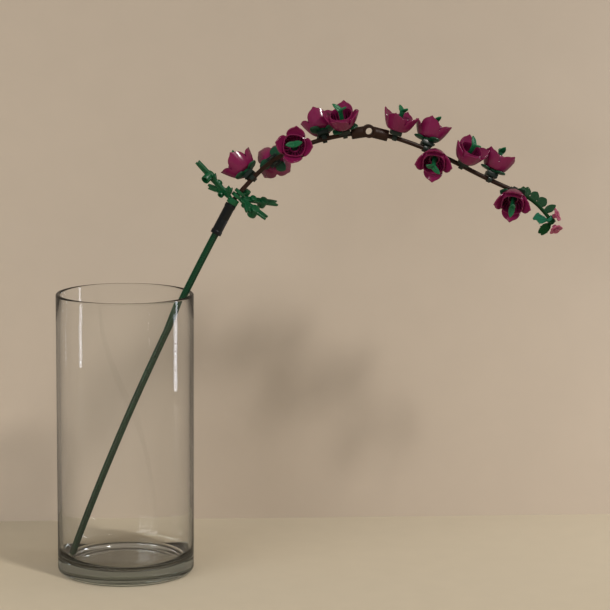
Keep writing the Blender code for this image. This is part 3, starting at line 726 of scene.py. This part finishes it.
def arc(centre, radius, start, end, count):
    return [(centre[0] + radius * math.cos(math.radians(start + (end - start) * i / count)),
             centre[1] + radius * math.sin(math.radians(start + (end - start) * i / count)))
            for i in range(count + 1)]


def vase_mesh(vase):
    """Up the inside from the middle of the floor, over the fire-polished lip and down the outside
    to a foot ring round a shallow hollow."""
    lip, heel, hollow = (vase.radius - vase.bore) / 2, 3 * MM, 0.8 * MM
    profile = [(0, vase.floor), (vase.bore * 0.4, vase.floor)]
    profile += arc((vase.bore - vase.corner, vase.floor + vase.corner), vase.corner, -90, 0, 16)
    profile += [(vase.bore, vase.height * share) for share in (0.3, 0.5, 0.7, 0.9)]
    profile += arc((vase.bore + lip, vase.height - lip), lip, 180, 0, 14)
    profile += [(vase.radius, vase.height * share) for share in (0.9, 0.7, 0.5, 0.3, 0.1)]
    profile += arc((vase.radius - heel, heel), heel, 0, -90, 10)
    profile += [(vase.bore - inset, height) for inset, height in mm((4, 0), (5, 0.15), (7, 0.6))]
    profile += [(vase.bore * 0.4, hollow), (0, hollow)]
    return turned(profile, vase.steps)


class SPRAY_OT_vase(bpy.types.Operator):
    """Builds the clear glass cylinder with its thick bottom"""
    bl_idname = "spray.vase"
    bl_label = "Glass vase"

    def execute(self, context):
        vase = context.scene.spray_vase
        finished("vase_glass", vase_mesh(vase), moulded_glass("Moulded soda-lime glass", vase.tint),
                 "clear_glass", "glass_vase")
        return {"FINISHED"}


# ---------------- stem, sleeve, rods, connector

def rib_cross(width, rib, fillet):
    """Outline of the stem's four ribs, with rounded corners."""
    a, b = width / 2, rib / 2
    corner = arc((a - fillet, b - fillet), fillet, 0, 90, 3)
    below = [(x, -y) for x, y in reversed(corner)]
    inner = arc((b + fillet, b + fillet), fillet, 270, 180, 3)
    outline = []
    for k in range(4):
        turn = Matrix.Rotation(k * math.pi / 2, 2)
        outline += [tuple(turn @ Vector(p)) for p in (*below, *corner, *inner)]
    return outline


def eased_in(end, inner):
    """The point where a bar's rounded end edge stops, from the end towards the next point."""
    return end + (inner - end).normalized() * EASE


def bar(route, profile, finish, reach):
    """The profile swept along the route, its end edges eased; reach is half its width."""
    points = route[0]
    line = [points[0], eased_in(points[0], points[1]), *points[1:-1],
            eased_in(points[-1], points[-2]), points[-1]]
    small = 1 - EASE / reach
    return swept(line, [small, *[1.0] * (len(line) - 2), small], profile, finish)


def sleeve_mesh(branch):
    """A sleeve with a collar at each end; its bore is wide for the stem and narrow for the rod."""
    wide, narrow = branch.stem_width / 2 + GAP, branch.rod_radius + GAP
    top, collar, slim = SLEEVE_LENGTH, branch.collar_radius, branch.sleeve_radius
    side = [(collar - 0.35 * MM, 0), (collar - 0.1 * MM, 0.1 * MM), (collar, 0.35 * MM),
            (collar, 2.5 * MM), (collar - 0.1 * MM, 2.75 * MM), (slim, 3.0 * MM),
            (slim, top / 2 - 0.5 * MM), (slim - 0.12 * MM, top / 2 - 0.25 * MM)]
    inside = [(narrow + 0.2 * MM, top), (narrow, top - 0.2 * MM), (narrow, top / 2),
              (wide, top / 2), (wide, 0.25 * MM), (wide + 0.2 * MM, 0)]
    return moved(turned(mirrored(side, top / 2) + inside, 48),
                 along_branch(SLEEVE_FOOT, SLEEVE_HEADING))


def connector_mesh(branch):
    """Two round arms that meet at an eye with a raised rim round its cross hole."""
    arms, bores = [], []
    for heading, reach in ((ELBOW_LEFT + 180, ELBOW_ARM), (ELBOW_RIGHT, ELBOW_LONG_ARM)):
        place = along_branch(ELBOW_HOLE, heading)
        arms.append(pin(branch.arm_radius, 0, reach, 48, place))
        bores.append(pin(branch.rod_radius + GAP, ELBOW_ARM - ELBOW_SOCKET, reach + 2 * MM,
                         place=place))
    across = axes(ELBOW_HOLE, Vector((0, -1, 0)), Vector((1, 0, 0)))
    body = combined(pin(branch.eye_radius, -ELBOW_DEPTH, ELBOW_DEPTH, 48, across), arms)
    # The hole is 4.9 mm wide, and 6.2 mm inside the rims
    hole = mirrored(mm((0, 6), (3.15, 6), (3.1, 3.3), (3, 3.2), (2.55, 3.2), (2.45, 3.1)))
    bores.append(moved(turned(hole, 48), across))
    return combined(body, bores, "DIFFERENCE")


class SPRAY_OT_stem(bpy.types.Operator):
    """Builds the ribbed stem and the sleeve on its top"""
    bl_idname = "spray.stem"
    bl_label = "Stem and sleeve"

    def execute(self, context):
        branch = context.scene.spray_branch
        green = moulded_plastic("Moulded ABS, dark green", branch.stem_colour, 0.3)
        cross = rib_cross(branch.stem_width, branch.stem_rib, 0.25 * MM)
        finished("stem_ribbed", bar(STEM, cross, green, branch.stem_width / 2), green,
                 "green_plastic", "stem_rod")
        black = moulded_plastic("Moulded polycarbonate, black", branch.sleeve_colour, 0.4)
        finished("sleeve_collared", sleeve_mesh(branch), black, "black_plastic", "stem_sleeve")
        return {"FINISHED"}


class SPRAY_OT_rods(bpy.types.Operator):
    """Builds the two bent rods and the angled connector between them"""
    bl_idname = "spray.rods"
    bl_label = "Rods and connector"

    def execute(self, context):
        branch = context.scene.spray_branch
        brown = moulded_plastic("Moulded ABS, dark brown", branch.rod_colour, 0.46, level=0.3)
        round_bar = circle(branch.rod_radius, 28)
        for name, route in (("lower", LOWER_ROD), ("upper", UPPER_ROD)):
            finished(f"rod_{name}", bar(route, round_bar, brown, branch.rod_radius), brown,
                     "brown_plastic", f"branch_rod_{name}")
        finished("connector_angled", connector_mesh(branch), brown, "brown_plastic", "branch_elbow")
        return {"FINISHED"}


# ---------------- blossom pieces

def clip_mesh():
    """Z up from the rod's axis, X along the rod: a plate with a hollow stud on top and a C-clip
    under it."""
    top = PLATE_UNDER + PLATE_HEIGHT
    slab = block((PLATE_SIDE, PLATE_SIDE, PLATE_HEIGHT), (0, 0, PLATE_UNDER + PLATE_HEIGHT / 2),
                 0.25 * MM)
    stud = pin(STUD_RADIUS, top - 1 * MM, top + STUD_HEIGHT, 40)
    start, end = CLIP_MOUTH - 90, 270 - CLIP_MOUTH
    hook = arc((0, 0), CLIP_OUTER, start, end, 30) + arc((0, 0), CLIP_INNER, end, start, 30)
    upright = Matrix(((0, 0, 1, 0), (1, 0, 0, 0), (0, 1, 0, 0), (0, 0, 0, 1)))
    clip = moved(moulded_plate(hook, CLIP_WIDTH), upright)
    waist = block((CLIP_WIDTH, 4.2 * MM, 1.2 * MM), (0, 0, PLATE_UNDER), 0.2 * MM)
    body = combined(slab, [stud, clip, waist])
    bore = pin(1.55 * MM, top - 0.4 * MM, top + 3 * MM)
    groove = pin(CLIP_INNER, -4 * MM, 4 * MM, 40, along_branch(Vector((0, 0, 0)), 0))
    return combined(body, [bore, groove], "DIFFERENCE")


def whorl_mesh():
    """Three creased leaflets round a hub with a hole for the stud."""
    hub = mirrored(mm((2.75, 0.15), (2.9, 0), (3.85, 0), (4, 0.2)), WHORL_THICKNESS / 2)
    leaf = leaflet(7.45 * MM, rounded(6.4 * MM, 1.9 * MM), 1.5 * MM, cup=0.45 * MM,
                   crease=0.4 * MM, groove=0.25 * MM)
    leaf = moved(leaf, shift(x=3.15 * MM, z=0.75 * MM) @ spin(-5.0, "Y"))
    return joined([turned(hub, 48), ringed(leaf, 3)])


def squared(radius, angle, power):
    """Radius at an angle of a rounded square whose flats lie at this radius."""
    c, s = abs(math.cos(angle)), abs(math.sin(angle))
    return radius / (c ** power + s ** power) ** (1 / power)


def petal_edge(angle, cup):
    """Radius and height of the edge of the four petals, each with a blunt point, and of the
    notches between them."""
    share = abs((angle + math.pi / 4) % (math.pi / 2) - math.pi / 4) / (math.pi / 4)
    out, up = PETAL_POINT
    body = math.cos(min(share * 1.06, 1.0) * math.pi / 2) ** 0.55
    point = max(0.0, 1 - share * 4.4) ** 1.2
    return (cup.notch + (cup.reach - out - cup.notch) * body + out * point,
            cup.notch_height + (cup.height - up - cup.notch_height) * body ** 0.8 + up * point)


def cup_mesh(cup):
    """A bowl that opens into four petals, round a rounded-square cup that has a raised ridge,
    fine ribs inside and a collar round the stud's hole."""
    steps = 144
    angles = [math.tau * k / steps for k in range(steps)]
    ridge, curl = cup.inner_height, 1.7
    edges, rims, roots = [], [], []
    for a in angles:
        radius, height = petal_edge(a, cup)
        slope = math.atan2(curl * height, radius - cup.base)
        root = (squared(cup.inner_cup + 0.35 * MM, a, 2.6), min(ridge - 1.9 * MM, 0.95 * height))
        wall = min(cup.cup_wall, (radius - root[0]) * 0.8)
        edges.append((radius, height, slope, wall))
        rims.append((radius - 0.93 * wall, height + 0.35 * wall))
        roots.append(root)

    def level(radius, height, power=2.0):
        """A flat row, from round at a power of 2 to more square above it."""
        return [(squared(radius, a, power), height) for a in angles]

    def outside(share):
        """A row at this share of the petals' outer face."""
        return [(cup.base + (radius - cup.base) * share, height * share ** curl)
                for radius, height, _, _ in edges]

    def rim(depth, spread):
        """A row on the petals' edge: this share of the wall deep, and this far past the edge."""
        return [(radius - depth * wall * math.sin(slope) + spread * MM * math.cos(slope),
                 height + depth * wall * math.cos(slope) + spread * MM * math.sin(slope))
                for radius, height, slope, wall in edges]

    def inside(share):
        """A row at this share of the way from the petals' edge in to the groove at their root."""
        return [(high[0] + (low[0] - high[0]) * share,
                 high[1] + (low[1] - high[1]) * share
                 - 0.14 * (high[1] - low[1]) * math.sin(math.pi * share))
                for high, low in zip(rims, roots)]

    rows = [level(cup.cup_hole + 0.15 * MM, 0), level(5.4 * MM, 0)]
    rows += [outside(share) for share in (0.0, 0.06, 0.14, 0.24, 0.36, 0.48, 0.6, 0.71, 0.81, 0.9,
                                          0.97)]
    rows += [rim(*step) for step in ((0.0, -0.1), (0.15, 0.03), (0.5, 0.08), (0.85, 0.03))]
    rows += [inside(share) for share in (0.02, 0.1, 0.25, 0.42, 0.6, 0.78, 0.93, 1.0)]
    # Over the ridge between the petals and the inner cup, down its wall and up the collar
    rows += [level(cup.inner_cup + out, ridge + up, 2.6) for out, up in mm(
        (0.1, -0.9), (0, -0.4), (-0.15, -0.12), (-0.42, 0), (-0.7, -0.14), (-0.85, -0.5),
        (-0.95, -2.4))]
    rows += [level(radius * MM, height * MM, power) for radius, height, power in (
        (6.8, 5.6, 2.6), (6.6, 3.4, 2.5), (6.2, 2.2, 2.3), (5.6, 1.55, 2.1))]
    rows += [level(radius, height) for radius, height in mm(
        (4.8, 1.3), (4.15, 1.3), (3.95, 1.5), (3.9, 2.9), (3.7, 3.15), (3.05, 3.15))]
    rows += [level(cup.cup_hole, 2.9 * MM), level(cup.cup_hole, 0.15 * MM)]
    shell = skinned([[(r * math.cos(a), r * math.sin(a), z) for a, (r, z) in zip(angles, row)]
                     for row in rows], closed=True)
    rib = mm((3.8, 0.9), (6.2, 1.5), (6.9, 3.2), (7.1, 8.4), (6.6, 8.6), (6.25, 5.6), (5.5, 3.6),
             (3.8, 2.4))
    blade = moved(moulded_plate(rib, 0.55 * MM, 0.12 * MM), spin(90, "X"))
    return joined([shell, ringed(blade, 16, 11.25)])


def sprout_mesh():
    """A stalk that opens into two leaflets, Z up from the underside of the stalk."""
    top = 13.5
    stalk = mm((0, 0), (1.3, 0), (1.5, 0.2), (1.5, top - 3.4), (1.6, top - 1.6), (1.9, top - 0.4),
               (1.8, top + 0.2), (1.2, top + 0.6), (0, top + 0.75))
    leaf = leaflet(7.0 * MM, tapered(4.8 * MM), 1.3 * MM, cup=0.5 * MM, crease=0.3 * MM,
                   groove=0.3 * MM)
    leaf = moved(leaf, shift(z=top * MM) @ spin(-32, "Y"))
    return joined([turned(stalk, 28), ringed(leaf, 2)])


class SPRAY_OT_clips(bpy.types.Operator):
    """Builds the eleven clip plates on the rods"""
    bl_idname = "spray.clips"
    bl_label = "Clip plates"

    def execute(self, context):
        tone = context.scene.spray_blossom.plate_colour
        finish = moulded_plastic("Moulded ABS, grey-green", tone, 0.36)
        set_on_clips("clip_plates", clip_mesh(), finish, "grey_green_plastic", "clip_plate",
                     height=0)
        return {"FINISHED"}


class SPRAY_OT_whorls(bpy.types.Operator):
    """Builds the leaf whorls under seven of the blossoms"""
    bl_idname = "spray.whorls"
    bl_label = "Leaf whorls"

    def execute(self, context):
        tone = context.scene.spray_blossom.whorl_colour
        finish = moulded_plastic("Moulded polyethylene, green", tone, 0.34)
        set_on_clips("leaf_whorls", whorl_mesh(), finish, "green_plastic", "leaf_whorl", "whorl")
        return {"FINISHED"}


class SPRAY_OT_petals(bpy.types.Operator):
    """Builds the eleven four-petalled cups"""
    bl_idname = "spray.petals"
    bl_label = "Petal cups"

    def execute(self, context):
        cup = context.scene.spray_blossom
        finish = moulded_plastic("Moulded polypropylene, magenta", cup.petal_colour, 0.2)
        set_on_clips("petal_cups", cup_mesh(cup), finish, "magenta_plastic", "petals", "petals")
        return {"FINISHED"}


class SPRAY_OT_sprouts(bpy.types.Operator):
    """Builds the sprouts that stand in the cups"""
    bl_idname = "spray.sprouts"
    bl_label = "Sprouts"

    def execute(self, context):
        tone = context.scene.spray_blossom.sprout_colour
        finish = moulded_plastic("Moulded polyethylene, bright green", tone, 0.3)
        set_on_clips("sprouts", sprout_mesh(), finish, "green_plastic", "sprout", "sprout")
        return {"FINISHED"}


# ---------------- leaf sprigs

# Each sprig: name, distance up the rod, side it leans to, hub height, (lean, roll), lobes as
# (start, angle, length, width, notch), studs as (x, y) and tubes as (x, y, radius, depth, top),
# in mm and degrees
SPRIGS = (
    ("left", 13.6, 1, 4.2, (16, 40),
     (((3, 0), 0, 34.4, 4.6, 2.6), ((9, -1), -42, 13, 4.2, 1.6), ((5.6, 1), 62, 8, 4, 1.4),
      ((19, 0), 40, 7, 3.8, 1.4)),
     ((16, 0), (8, 0)), ((24.5, 0, 3, 6, 1.9), (9, -3, 2.2, 3, 0.5))),
    ("right", 18.3, -1, 2.6, (11, 36),
     (((2.6, 0), -12, 23.6, 4.4, 2.4), ((5, 1.5), 29, 27.5, 4.6, 2.6),
      ((8, -2), -58, 8, 4, 1.4)),
     ((11.4, 5),), ((15.6, -2.8, 3.4, 6, 1.6), (19.2, 9.4, 3, 4.4, 1.9), (8, -0.6, 2.2, 4, 0.5))),
    ("back", 21.4, -1, 2.4, (11, 17),
     (((1.6, 1.6), 60, 8.6, 4.6, 1.4),), (), ((4.8, 5.6, 2.4, 0.6, 3.2),)),
)


def lobe_mesh(length, width, notch, thickness):
    """A straight lobe along +X whose end is cut to a V, with a midrib on both faces."""
    half, rib_end = width / 2, length - notch - 0.6 * MM
    outline = mirrored([(0, -half * 0.55), (2.5 * MM, -half * 0.9), (length * 0.6, -half),
                        (length * 0.85, -half * 0.98), (length - 0.1 * MM, -half * 0.86),
                        (length, -half * 0.72), (length - notch, 0)])
    rib = mirrored([(1.5 * MM, -0.3 * MM), (rib_end, -0.22 * MM)])
    return combined(moulded_plate(outline, thickness, 0.25 * MM),
                    [moulded_plate(rib, thickness + 0.5 * MM, 0.1 * MM)])


def sprig_mesh(leaf, distance, direction, height, tilt, lobes, studs, tubes):
    """A ring on the rod whose lobes lean up along it, with studs on top and tubes below."""
    point, heading = station(LOWER_ROD, distance * MM)
    flat = axes(point, heading_vector(heading), heading_vector(heading + 90) * direction)
    half, thick = height / 2 * MM, leaf.sprig_thickness
    lean = flat @ shift(z=half - thick * 0.9) @ spin(-tilt[0], "Y") @ spin(tilt[1], "X")

    def spot(x, y, turn=5):
        """A place on the lobes. Studs and tubes are turned a little, so that no side of theirs
        lies along a midrib."""
        return lean @ shift(x * MM, y * MM) @ spin(turn)

    pieces, bores = [], []
    for index, (start, angle, length, width, notch) in enumerate(lobes):
        # No two lobes are equally thick, so that their faces don't coincide
        lobe = lobe_mesh(length * MM, width * MM, notch * MM, thick + 0.02 * MM * index)
        pieces.append(moved(lobe, spot(*start, angle)))
    for x, y in studs:
        pieces.append(pin(STUD_RADIUS, 0, thick / 2 + STUD_HEIGHT, place=spot(x, y)))
    for x, y, radius, depth, top in tubes:
        pieces.append(pin(radius * MM, -depth * MM, top * MM, 40, spot(x, y)))
        if depth > 2:
            bores.append(pin((radius - 0.9) * MM, -(depth + 2) * MM, -1.2 * MM, place=spot(x, y)))
    bores.append(pin(1.9 * MM, -8 * MM, 8 * MM, 40, flat))
    return combined(combined(pin(leaf.sprig_hub, -half, half, 48, flat), pieces), bores,
                    "DIFFERENCE")


class SPRAY_OT_sprigs(bpy.types.Operator):
    """Builds the three leaf sprigs above the sleeve"""
    bl_idname = "spray.sprigs"
    bl_label = "Leaf sprigs"

    def execute(self, context):
        leaf = context.scene.spray_leaf
        finish = moulded_plastic("Moulded polyethylene, leaf green", leaf.sprig_colour, 0.32)
        for name, *layout in SPRIGS:
            finished(f"sprig_{name}", sprig_mesh(leaf, *layout), finish, "green_plastic",
                     f"leaf_sprig_{name}")
        return {"FINISHED"}


# ---------------- leafy tip

# Outlines of the two broad leaves, in mm from the eye that threads on the vine
TEAL_LEAF = ((-1.5, -1.2), (0.6, -1.25), (1.8, -1.4), (3.4, -1.9), (5, -2.6), (6.4, -3.6),
             (7.7, -5.0), (8.9, -4.7), (9.8, -3.9), (11.2, -2.2), (12.2, -0.8), (11.2, -0.1),
             (9.6, 0.4), (9.0, 1.0), (8.6, 1.8), (7.7, 2.6), (6.6, 3.1), (5.4, 3.1), (4.4, 2.7),
             (3.2, 2.2), (2.2, 1.8), (0.6, 1.3), (-1.5, 1.2))
DARK_LEAF = ((-1.5, -1.2), (1.2, -1.25), (2.5, -1.4), (3.8, -2.4), (5.6, -3.2), (7.8, -3.1),
             (10, -2.6), (11.6, -1.9), (12.5, -1), (12.0, -0.2), (11, 0.3), (11.8, 0.8),
             (12.1, 1.8), (10.6, 2.7), (9, 3.1), (7.5, 3.2), (5.6, 3.1), (3.8, 2.6), (2.2, 1.4),
             (0.6, 1.25), (-1.5, 1.2))


def vine_mesh(leaf, finish):
    """The drooping vine and the rounded leaflets along it."""
    points = VINE[0]
    girth = [0.8, *[1.0 - 0.25 * i / len(points) for i in range(1, len(points))], 0.6]
    line = [points[0], eased_in(points[0], points[1]), *points[1:]]
    meshes = [swept(line, girth, circle(leaf.vine_radius, 20), finish)]
    for distance, reach, width, lean in ((3.0, 6.6, 4.6, 101), (5.4, 7.8, 5.6, 96),
                                         (10.4, 8.6, 6.6, 86), (15.8, 9.6, 7.2, 78),
                                         (22.8, 12, 5, 82)):
        point, heading = station(VINE, distance * MM)
        blade = leaflet(reach * MM, rounded(width * MM, 0.8 * MM), 1.3 * MM, cup=0.6 * MM,
                        crease=0.35 * MM, groove=0.25 * MM)
        place = axes(point, Vector((0.25, -0.6, 0.35)), heading_vector(heading + lean))
        meshes.append(moved(blade, place))
    return joined(meshes)


def broad_leaf_mesh(leaf, distance, heading, outline, side):
    """A broad lobed leaf with veins, whose round eye threads on the vine."""
    point, direction = station(VINE, distance * MM)
    length = max(x for x, _ in outline)
    veins = []
    for reach, angle in ((0.86, 0), (0.62, 26), (0.62, -26)):
        strip = mirrored(mm((0, -0.25), (length * reach, -0.16)))
        vein = moulded_plate(strip, 1.7 * MM, 0.1 * MM)
        veins.append(moved(vein, shift(x=1.2 * MM) @ spin(angle)))
    blade = combined(moulded_plate(mm(*outline), 1.2 * MM, 0.2 * MM), veins)
    blade = moved(blade, axes(point, Vector((0, -1, 0.12 * side)), heading_vector(heading)))
    along = along_branch(point, direction)
    eye = pin(2.7 * MM, -1.2 * MM, 1.2 * MM, 40, along)
    bore = pin(leaf.vine_radius + GAP, -4 * MM, 4 * MM, place=along)
    return combined(combined(eye, [blade]), [bore], "DIFFERENCE")


def tip_blossom_mesh(leaf):
    """Five cupped petals round a raised eye, Z up from the petals."""
    petal = leaflet(leaf.tip_blossom - 0.9 * MM, rounded(4.3 * MM, 0.9 * MM), 1.3 * MM,
                    cup=0.5 * MM, crease=0.4 * MM)
    petal = moved(petal, shift(x=0.9 * MM, z=0.25 * MM) @ spin(-11, "Y"))
    eye = turned(mm((0, -2.6), (1.4, -2.6), (1.6, -2.4), (1.6, 1.3), (1.35, 1.7), (0.7, 1.88),
                    (0, 1.6)), 28)
    anther = turned(mm((0, 0), (0.32, 0.05), (0.32, 1), (0.2, 1.2), (0, 1.25)), 10)
    anther = moved(anther, shift(x=2.1 * MM, z=0.7 * MM))
    return joined([ringed(petal, 5), eye, ringed(anther, 5, 36)])


class SPRAY_OT_tip(bpy.types.Operator):
    """Builds the vine, its leaves and the two small blossoms at the tip"""
    bl_idname = "spray.tip"
    bl_label = "Leafy tip"

    def execute(self, context):
        leaf = context.scene.spray_leaf
        dark = moulded_plastic("Moulded polyethylene, dark green", leaf.vine_colour, 0.5,
                               level=0.15)
        teal = moulded_plastic("Moulded polyethylene, teal", leaf.teal_colour, 0.34)
        rose = moulded_plastic("Moulded polyethylene, rose", leaf.rose_colour, 0.34)
        finished("vine_leafy", vine_mesh(leaf, dark), dark, "dark_green_plastic", "tip_vine")
        finished("leaf_teal", broad_leaf_mesh(leaf, 29, 184, TEAL_LEAF, 1), teal, "teal_plastic",
                 "tip_leaf_teal")
        finished("leaf_dark", broad_leaf_mesh(leaf, 31.8, 226, DARK_LEAF, -1), dark,
                 "dark_green_plastic", "tip_leaf_dark")
        for name, distance, heading, front, lift in (("upper", 28.4, 24, -0.4, 5.6),
                                                     ("lower", 33.5, -68, -0.8, 4.4)):
            point, _ = station(VINE, distance * MM)
            outward = (heading_vector(heading) + Vector((0, front, 0))).normalized()
            place = axes(point + outward * lift * MM, outward, Vector((0, 0, 1)))
            finished(f"blossom_{name}", moved(tip_blossom_mesh(leaf), place), rose, "rose_plastic",
                     f"tip_blossom_{name}")
        return {"FINISHED"}


# ---------------- stage

STAGE_REACH = 3
# The wall's painted shade, its brightness at the floor and 450 mm up, and the world's strength
WALL_PAINTED_SHADE = (1.07, 0.84)
ROOM_LIGHT = 0.43
# Lamps: name, place, aim, (width, height) in metres, power in watts, colour, shows in gloss
LAMPS = (
    ("lamp_key", (1.1, -1.3, 2.05), (0.0, 0.0, 0.16), (0.24, 0.24), 25, "#FFF9F2", True),
    ("lamp_window", (0.62, 0.02, 0.24), (0.0, 0.0, 0.16), (0.05, 0.46), 0.5, "#F2F5FF", True),
    ("lamp_fill", (-1.1, -1.2, 0.7), (0.1, 0.0, 0.1), (1.2, 1.0), 13, "#FFFFFF", False),
)
CAMERA_PLACE = Vector((1.48, -1560.18, 442.51)) * MM
CAMERA_YAW, CAMERA_PITCH, CAMERA_ROLL = -0.0804, 0.1594, 0.0081


def sheet(name, corners, finish):
    mesh = bpy.data.meshes.new(name)
    mesh.from_pydata(corners, [], [(0, 1, 2, 3)])
    mesh.materials.append(finish)
    obj = linked(name, mesh)


def one_sided(finish):
    """Makes a surface clear from behind, so that the backdrop hides nothing from the back."""
    tree = finish.node_tree
    back = add_node(tree, "ShaderNodeNewGeometry").outputs["Backfacing"]
    clear = add_node(tree, "ShaderNodeBsdfTransparent")
    mix = add_node(tree, "ShaderNodeMixShader", {0: back, 1: tree.nodes["Principled BSDF"],
                                                 2: clear})
    fill(tree, tree.nodes["Material Output"], {"Surface": mix})
    return finish


def light_world(strength, seen):
    """An even world that lights the object, with a pale colour where it is seen directly."""
    world = bpy.data.worlds.new("Even room light")
    bpy.context.scene.world = world
    world.use_nodes = True
    tree = world.node_tree
    paths = add_node(tree, "ShaderNodeLightPath").outputs
    direct = add_node(tree, "ShaderNodeMath", {
        0: paths["Is Camera Ray"], 1: paths["Is Transmission Ray"]}, operation="MAXIMUM")
    # A room reflects darker than it lights: most of its light comes through one window
    dim = add_node(tree, "ShaderNodeMapRange", {"Value": paths["Is Glossy Ray"],
                                                "To Min": strength, "To Max": strength * 0.35})
    lit = fill(tree, tree.nodes["Background"], {"Color": (1, 0.99, 0.975, 1), "Strength": dim})
    # Painted shade: the backdrop colour is dimmer where it is seen after a mirror bounce
    shown = add_node(tree, "ShaderNodeBackground", {"Color": (*seen, 1),
                                                    "Strength": mirror_dimmer(tree)})
    mix = add_node(tree, "ShaderNodeMixShader", {0: direct, 1: lit, 2: shown})
    fill(tree, tree.nodes["World Output"], {"Surface": mix})


def add_lamp(name, place, aim, size, power, tone, shows):
    data = bpy.data.lights.new(name, "AREA")
    data.shape = "RECTANGLE"
    data.size, data.size_y = size
    data.energy = power
    data.color = linear(tone)
    obj = linked(name, data)
    obj.visible_glossy = shows
    obj.location = place
    obj.rotation_mode = "QUATERNION"
    obj.rotation_quaternion = (Vector(aim) - Vector(place)).to_track_quat("-Z", "Y")


def add_camera(lens):
    data = bpy.data.cameras.new("camera")
    data.sensor_width = 36
    data.lens = lens
    data.clip_start, data.clip_end = 0.05, 20
    obj = linked("camera", data)
    obj.matrix_world = (Matrix.Translation(CAMERA_PLACE) @ Matrix.Rotation(CAMERA_YAW, 4, "Z")
                        @ Matrix.Rotation(math.pi / 2 - CAMERA_PITCH, 4, "X")
                        @ Matrix.Rotation(CAMERA_ROLL, 4, "Z"))
    bpy.context.scene.camera = obj


class SPRAY_OT_stage(bpy.types.Operator):
    """Builds the floor, the backdrop, the lamps and the camera"""
    bl_idname = "spray.stage"
    bl_label = "Stage"

    def execute(self, context):
        stage = context.scene.spray_stage
        far, y = STAGE_REACH, stage.wall_distance
        sheet("stage_floor", [(-far, -far, 0), (far, -far, 0), (far, far, 0), (-far, far, 0)],
              painted_surface("Painted board, pale", stage.floor_colour, 20 * MM))
        # The wall carries a painted shade, darker towards the top
        wall = painted_surface("Painted wall, pale", stage.wall_colour, 30 * MM, *WALL_PAINTED_SHADE)
        sheet("stage_wall", [(-far, y, 0), (far, y, 0), (far, y, far), (-far, y, far)],
              one_sided(wall))
        for lamp in LAMPS:
            add_lamp(*lamp)
        light_world(ROOM_LIGHT, stage.wall_colour)
        add_camera(stage.lens)
        context.scene.view_settings.view_transform = "Standard"
        return {"FINISHED"}


# ---------------- add-on

OPERATORS = (SPRAY_OT_vase, SPRAY_OT_stem, SPRAY_OT_rods, SPRAY_OT_clips, SPRAY_OT_whorls,
             SPRAY_OT_petals, SPRAY_OT_sprouts, SPRAY_OT_sprigs, SPRAY_OT_tip, SPRAY_OT_stage)


class SPRAY_PT_pieces(bpy.types.Panel):
    """Lists the pieces and their sizes"""
    bl_label = "Blossom spray"
    bl_idname = "SPRAY_PT_pieces"
    bl_space_type = "VIEW_3D"
    bl_region_type = "UI"
    bl_category = "Blossom Spray"

    def draw(self, context):
        for operator in OPERATORS:
            self.layout.operator(operator.bl_idname)
        for name, group in SETTINGS:
            box = self.layout.box()
            box.label(text=group.__doc__)
            for setting in group.__annotations__:
                box.prop(getattr(context.scene, name), setting)


CLASSES = (*(group for _, group in SETTINGS), *OPERATORS, SPRAY_PT_pieces)


def register():
    for cls in CLASSES:
        bpy.utils.register_class(cls)
    for name, group in SETTINGS:
        setattr(bpy.types.Scene, name, PointerProperty(type=group))


def unregister():
    for name, _ in SETTINGS:
        delattr(bpy.types.Scene, name)
    for cls in reversed(CLASSES):
        bpy.utils.unregister_class(cls)


def main():
    register()
    for operator in OPERATORS:
        call = operator.bl_idname.split(".")[1]
        getattr(bpy.ops.spray, call)()


if __name__ == "__main__":
    main()
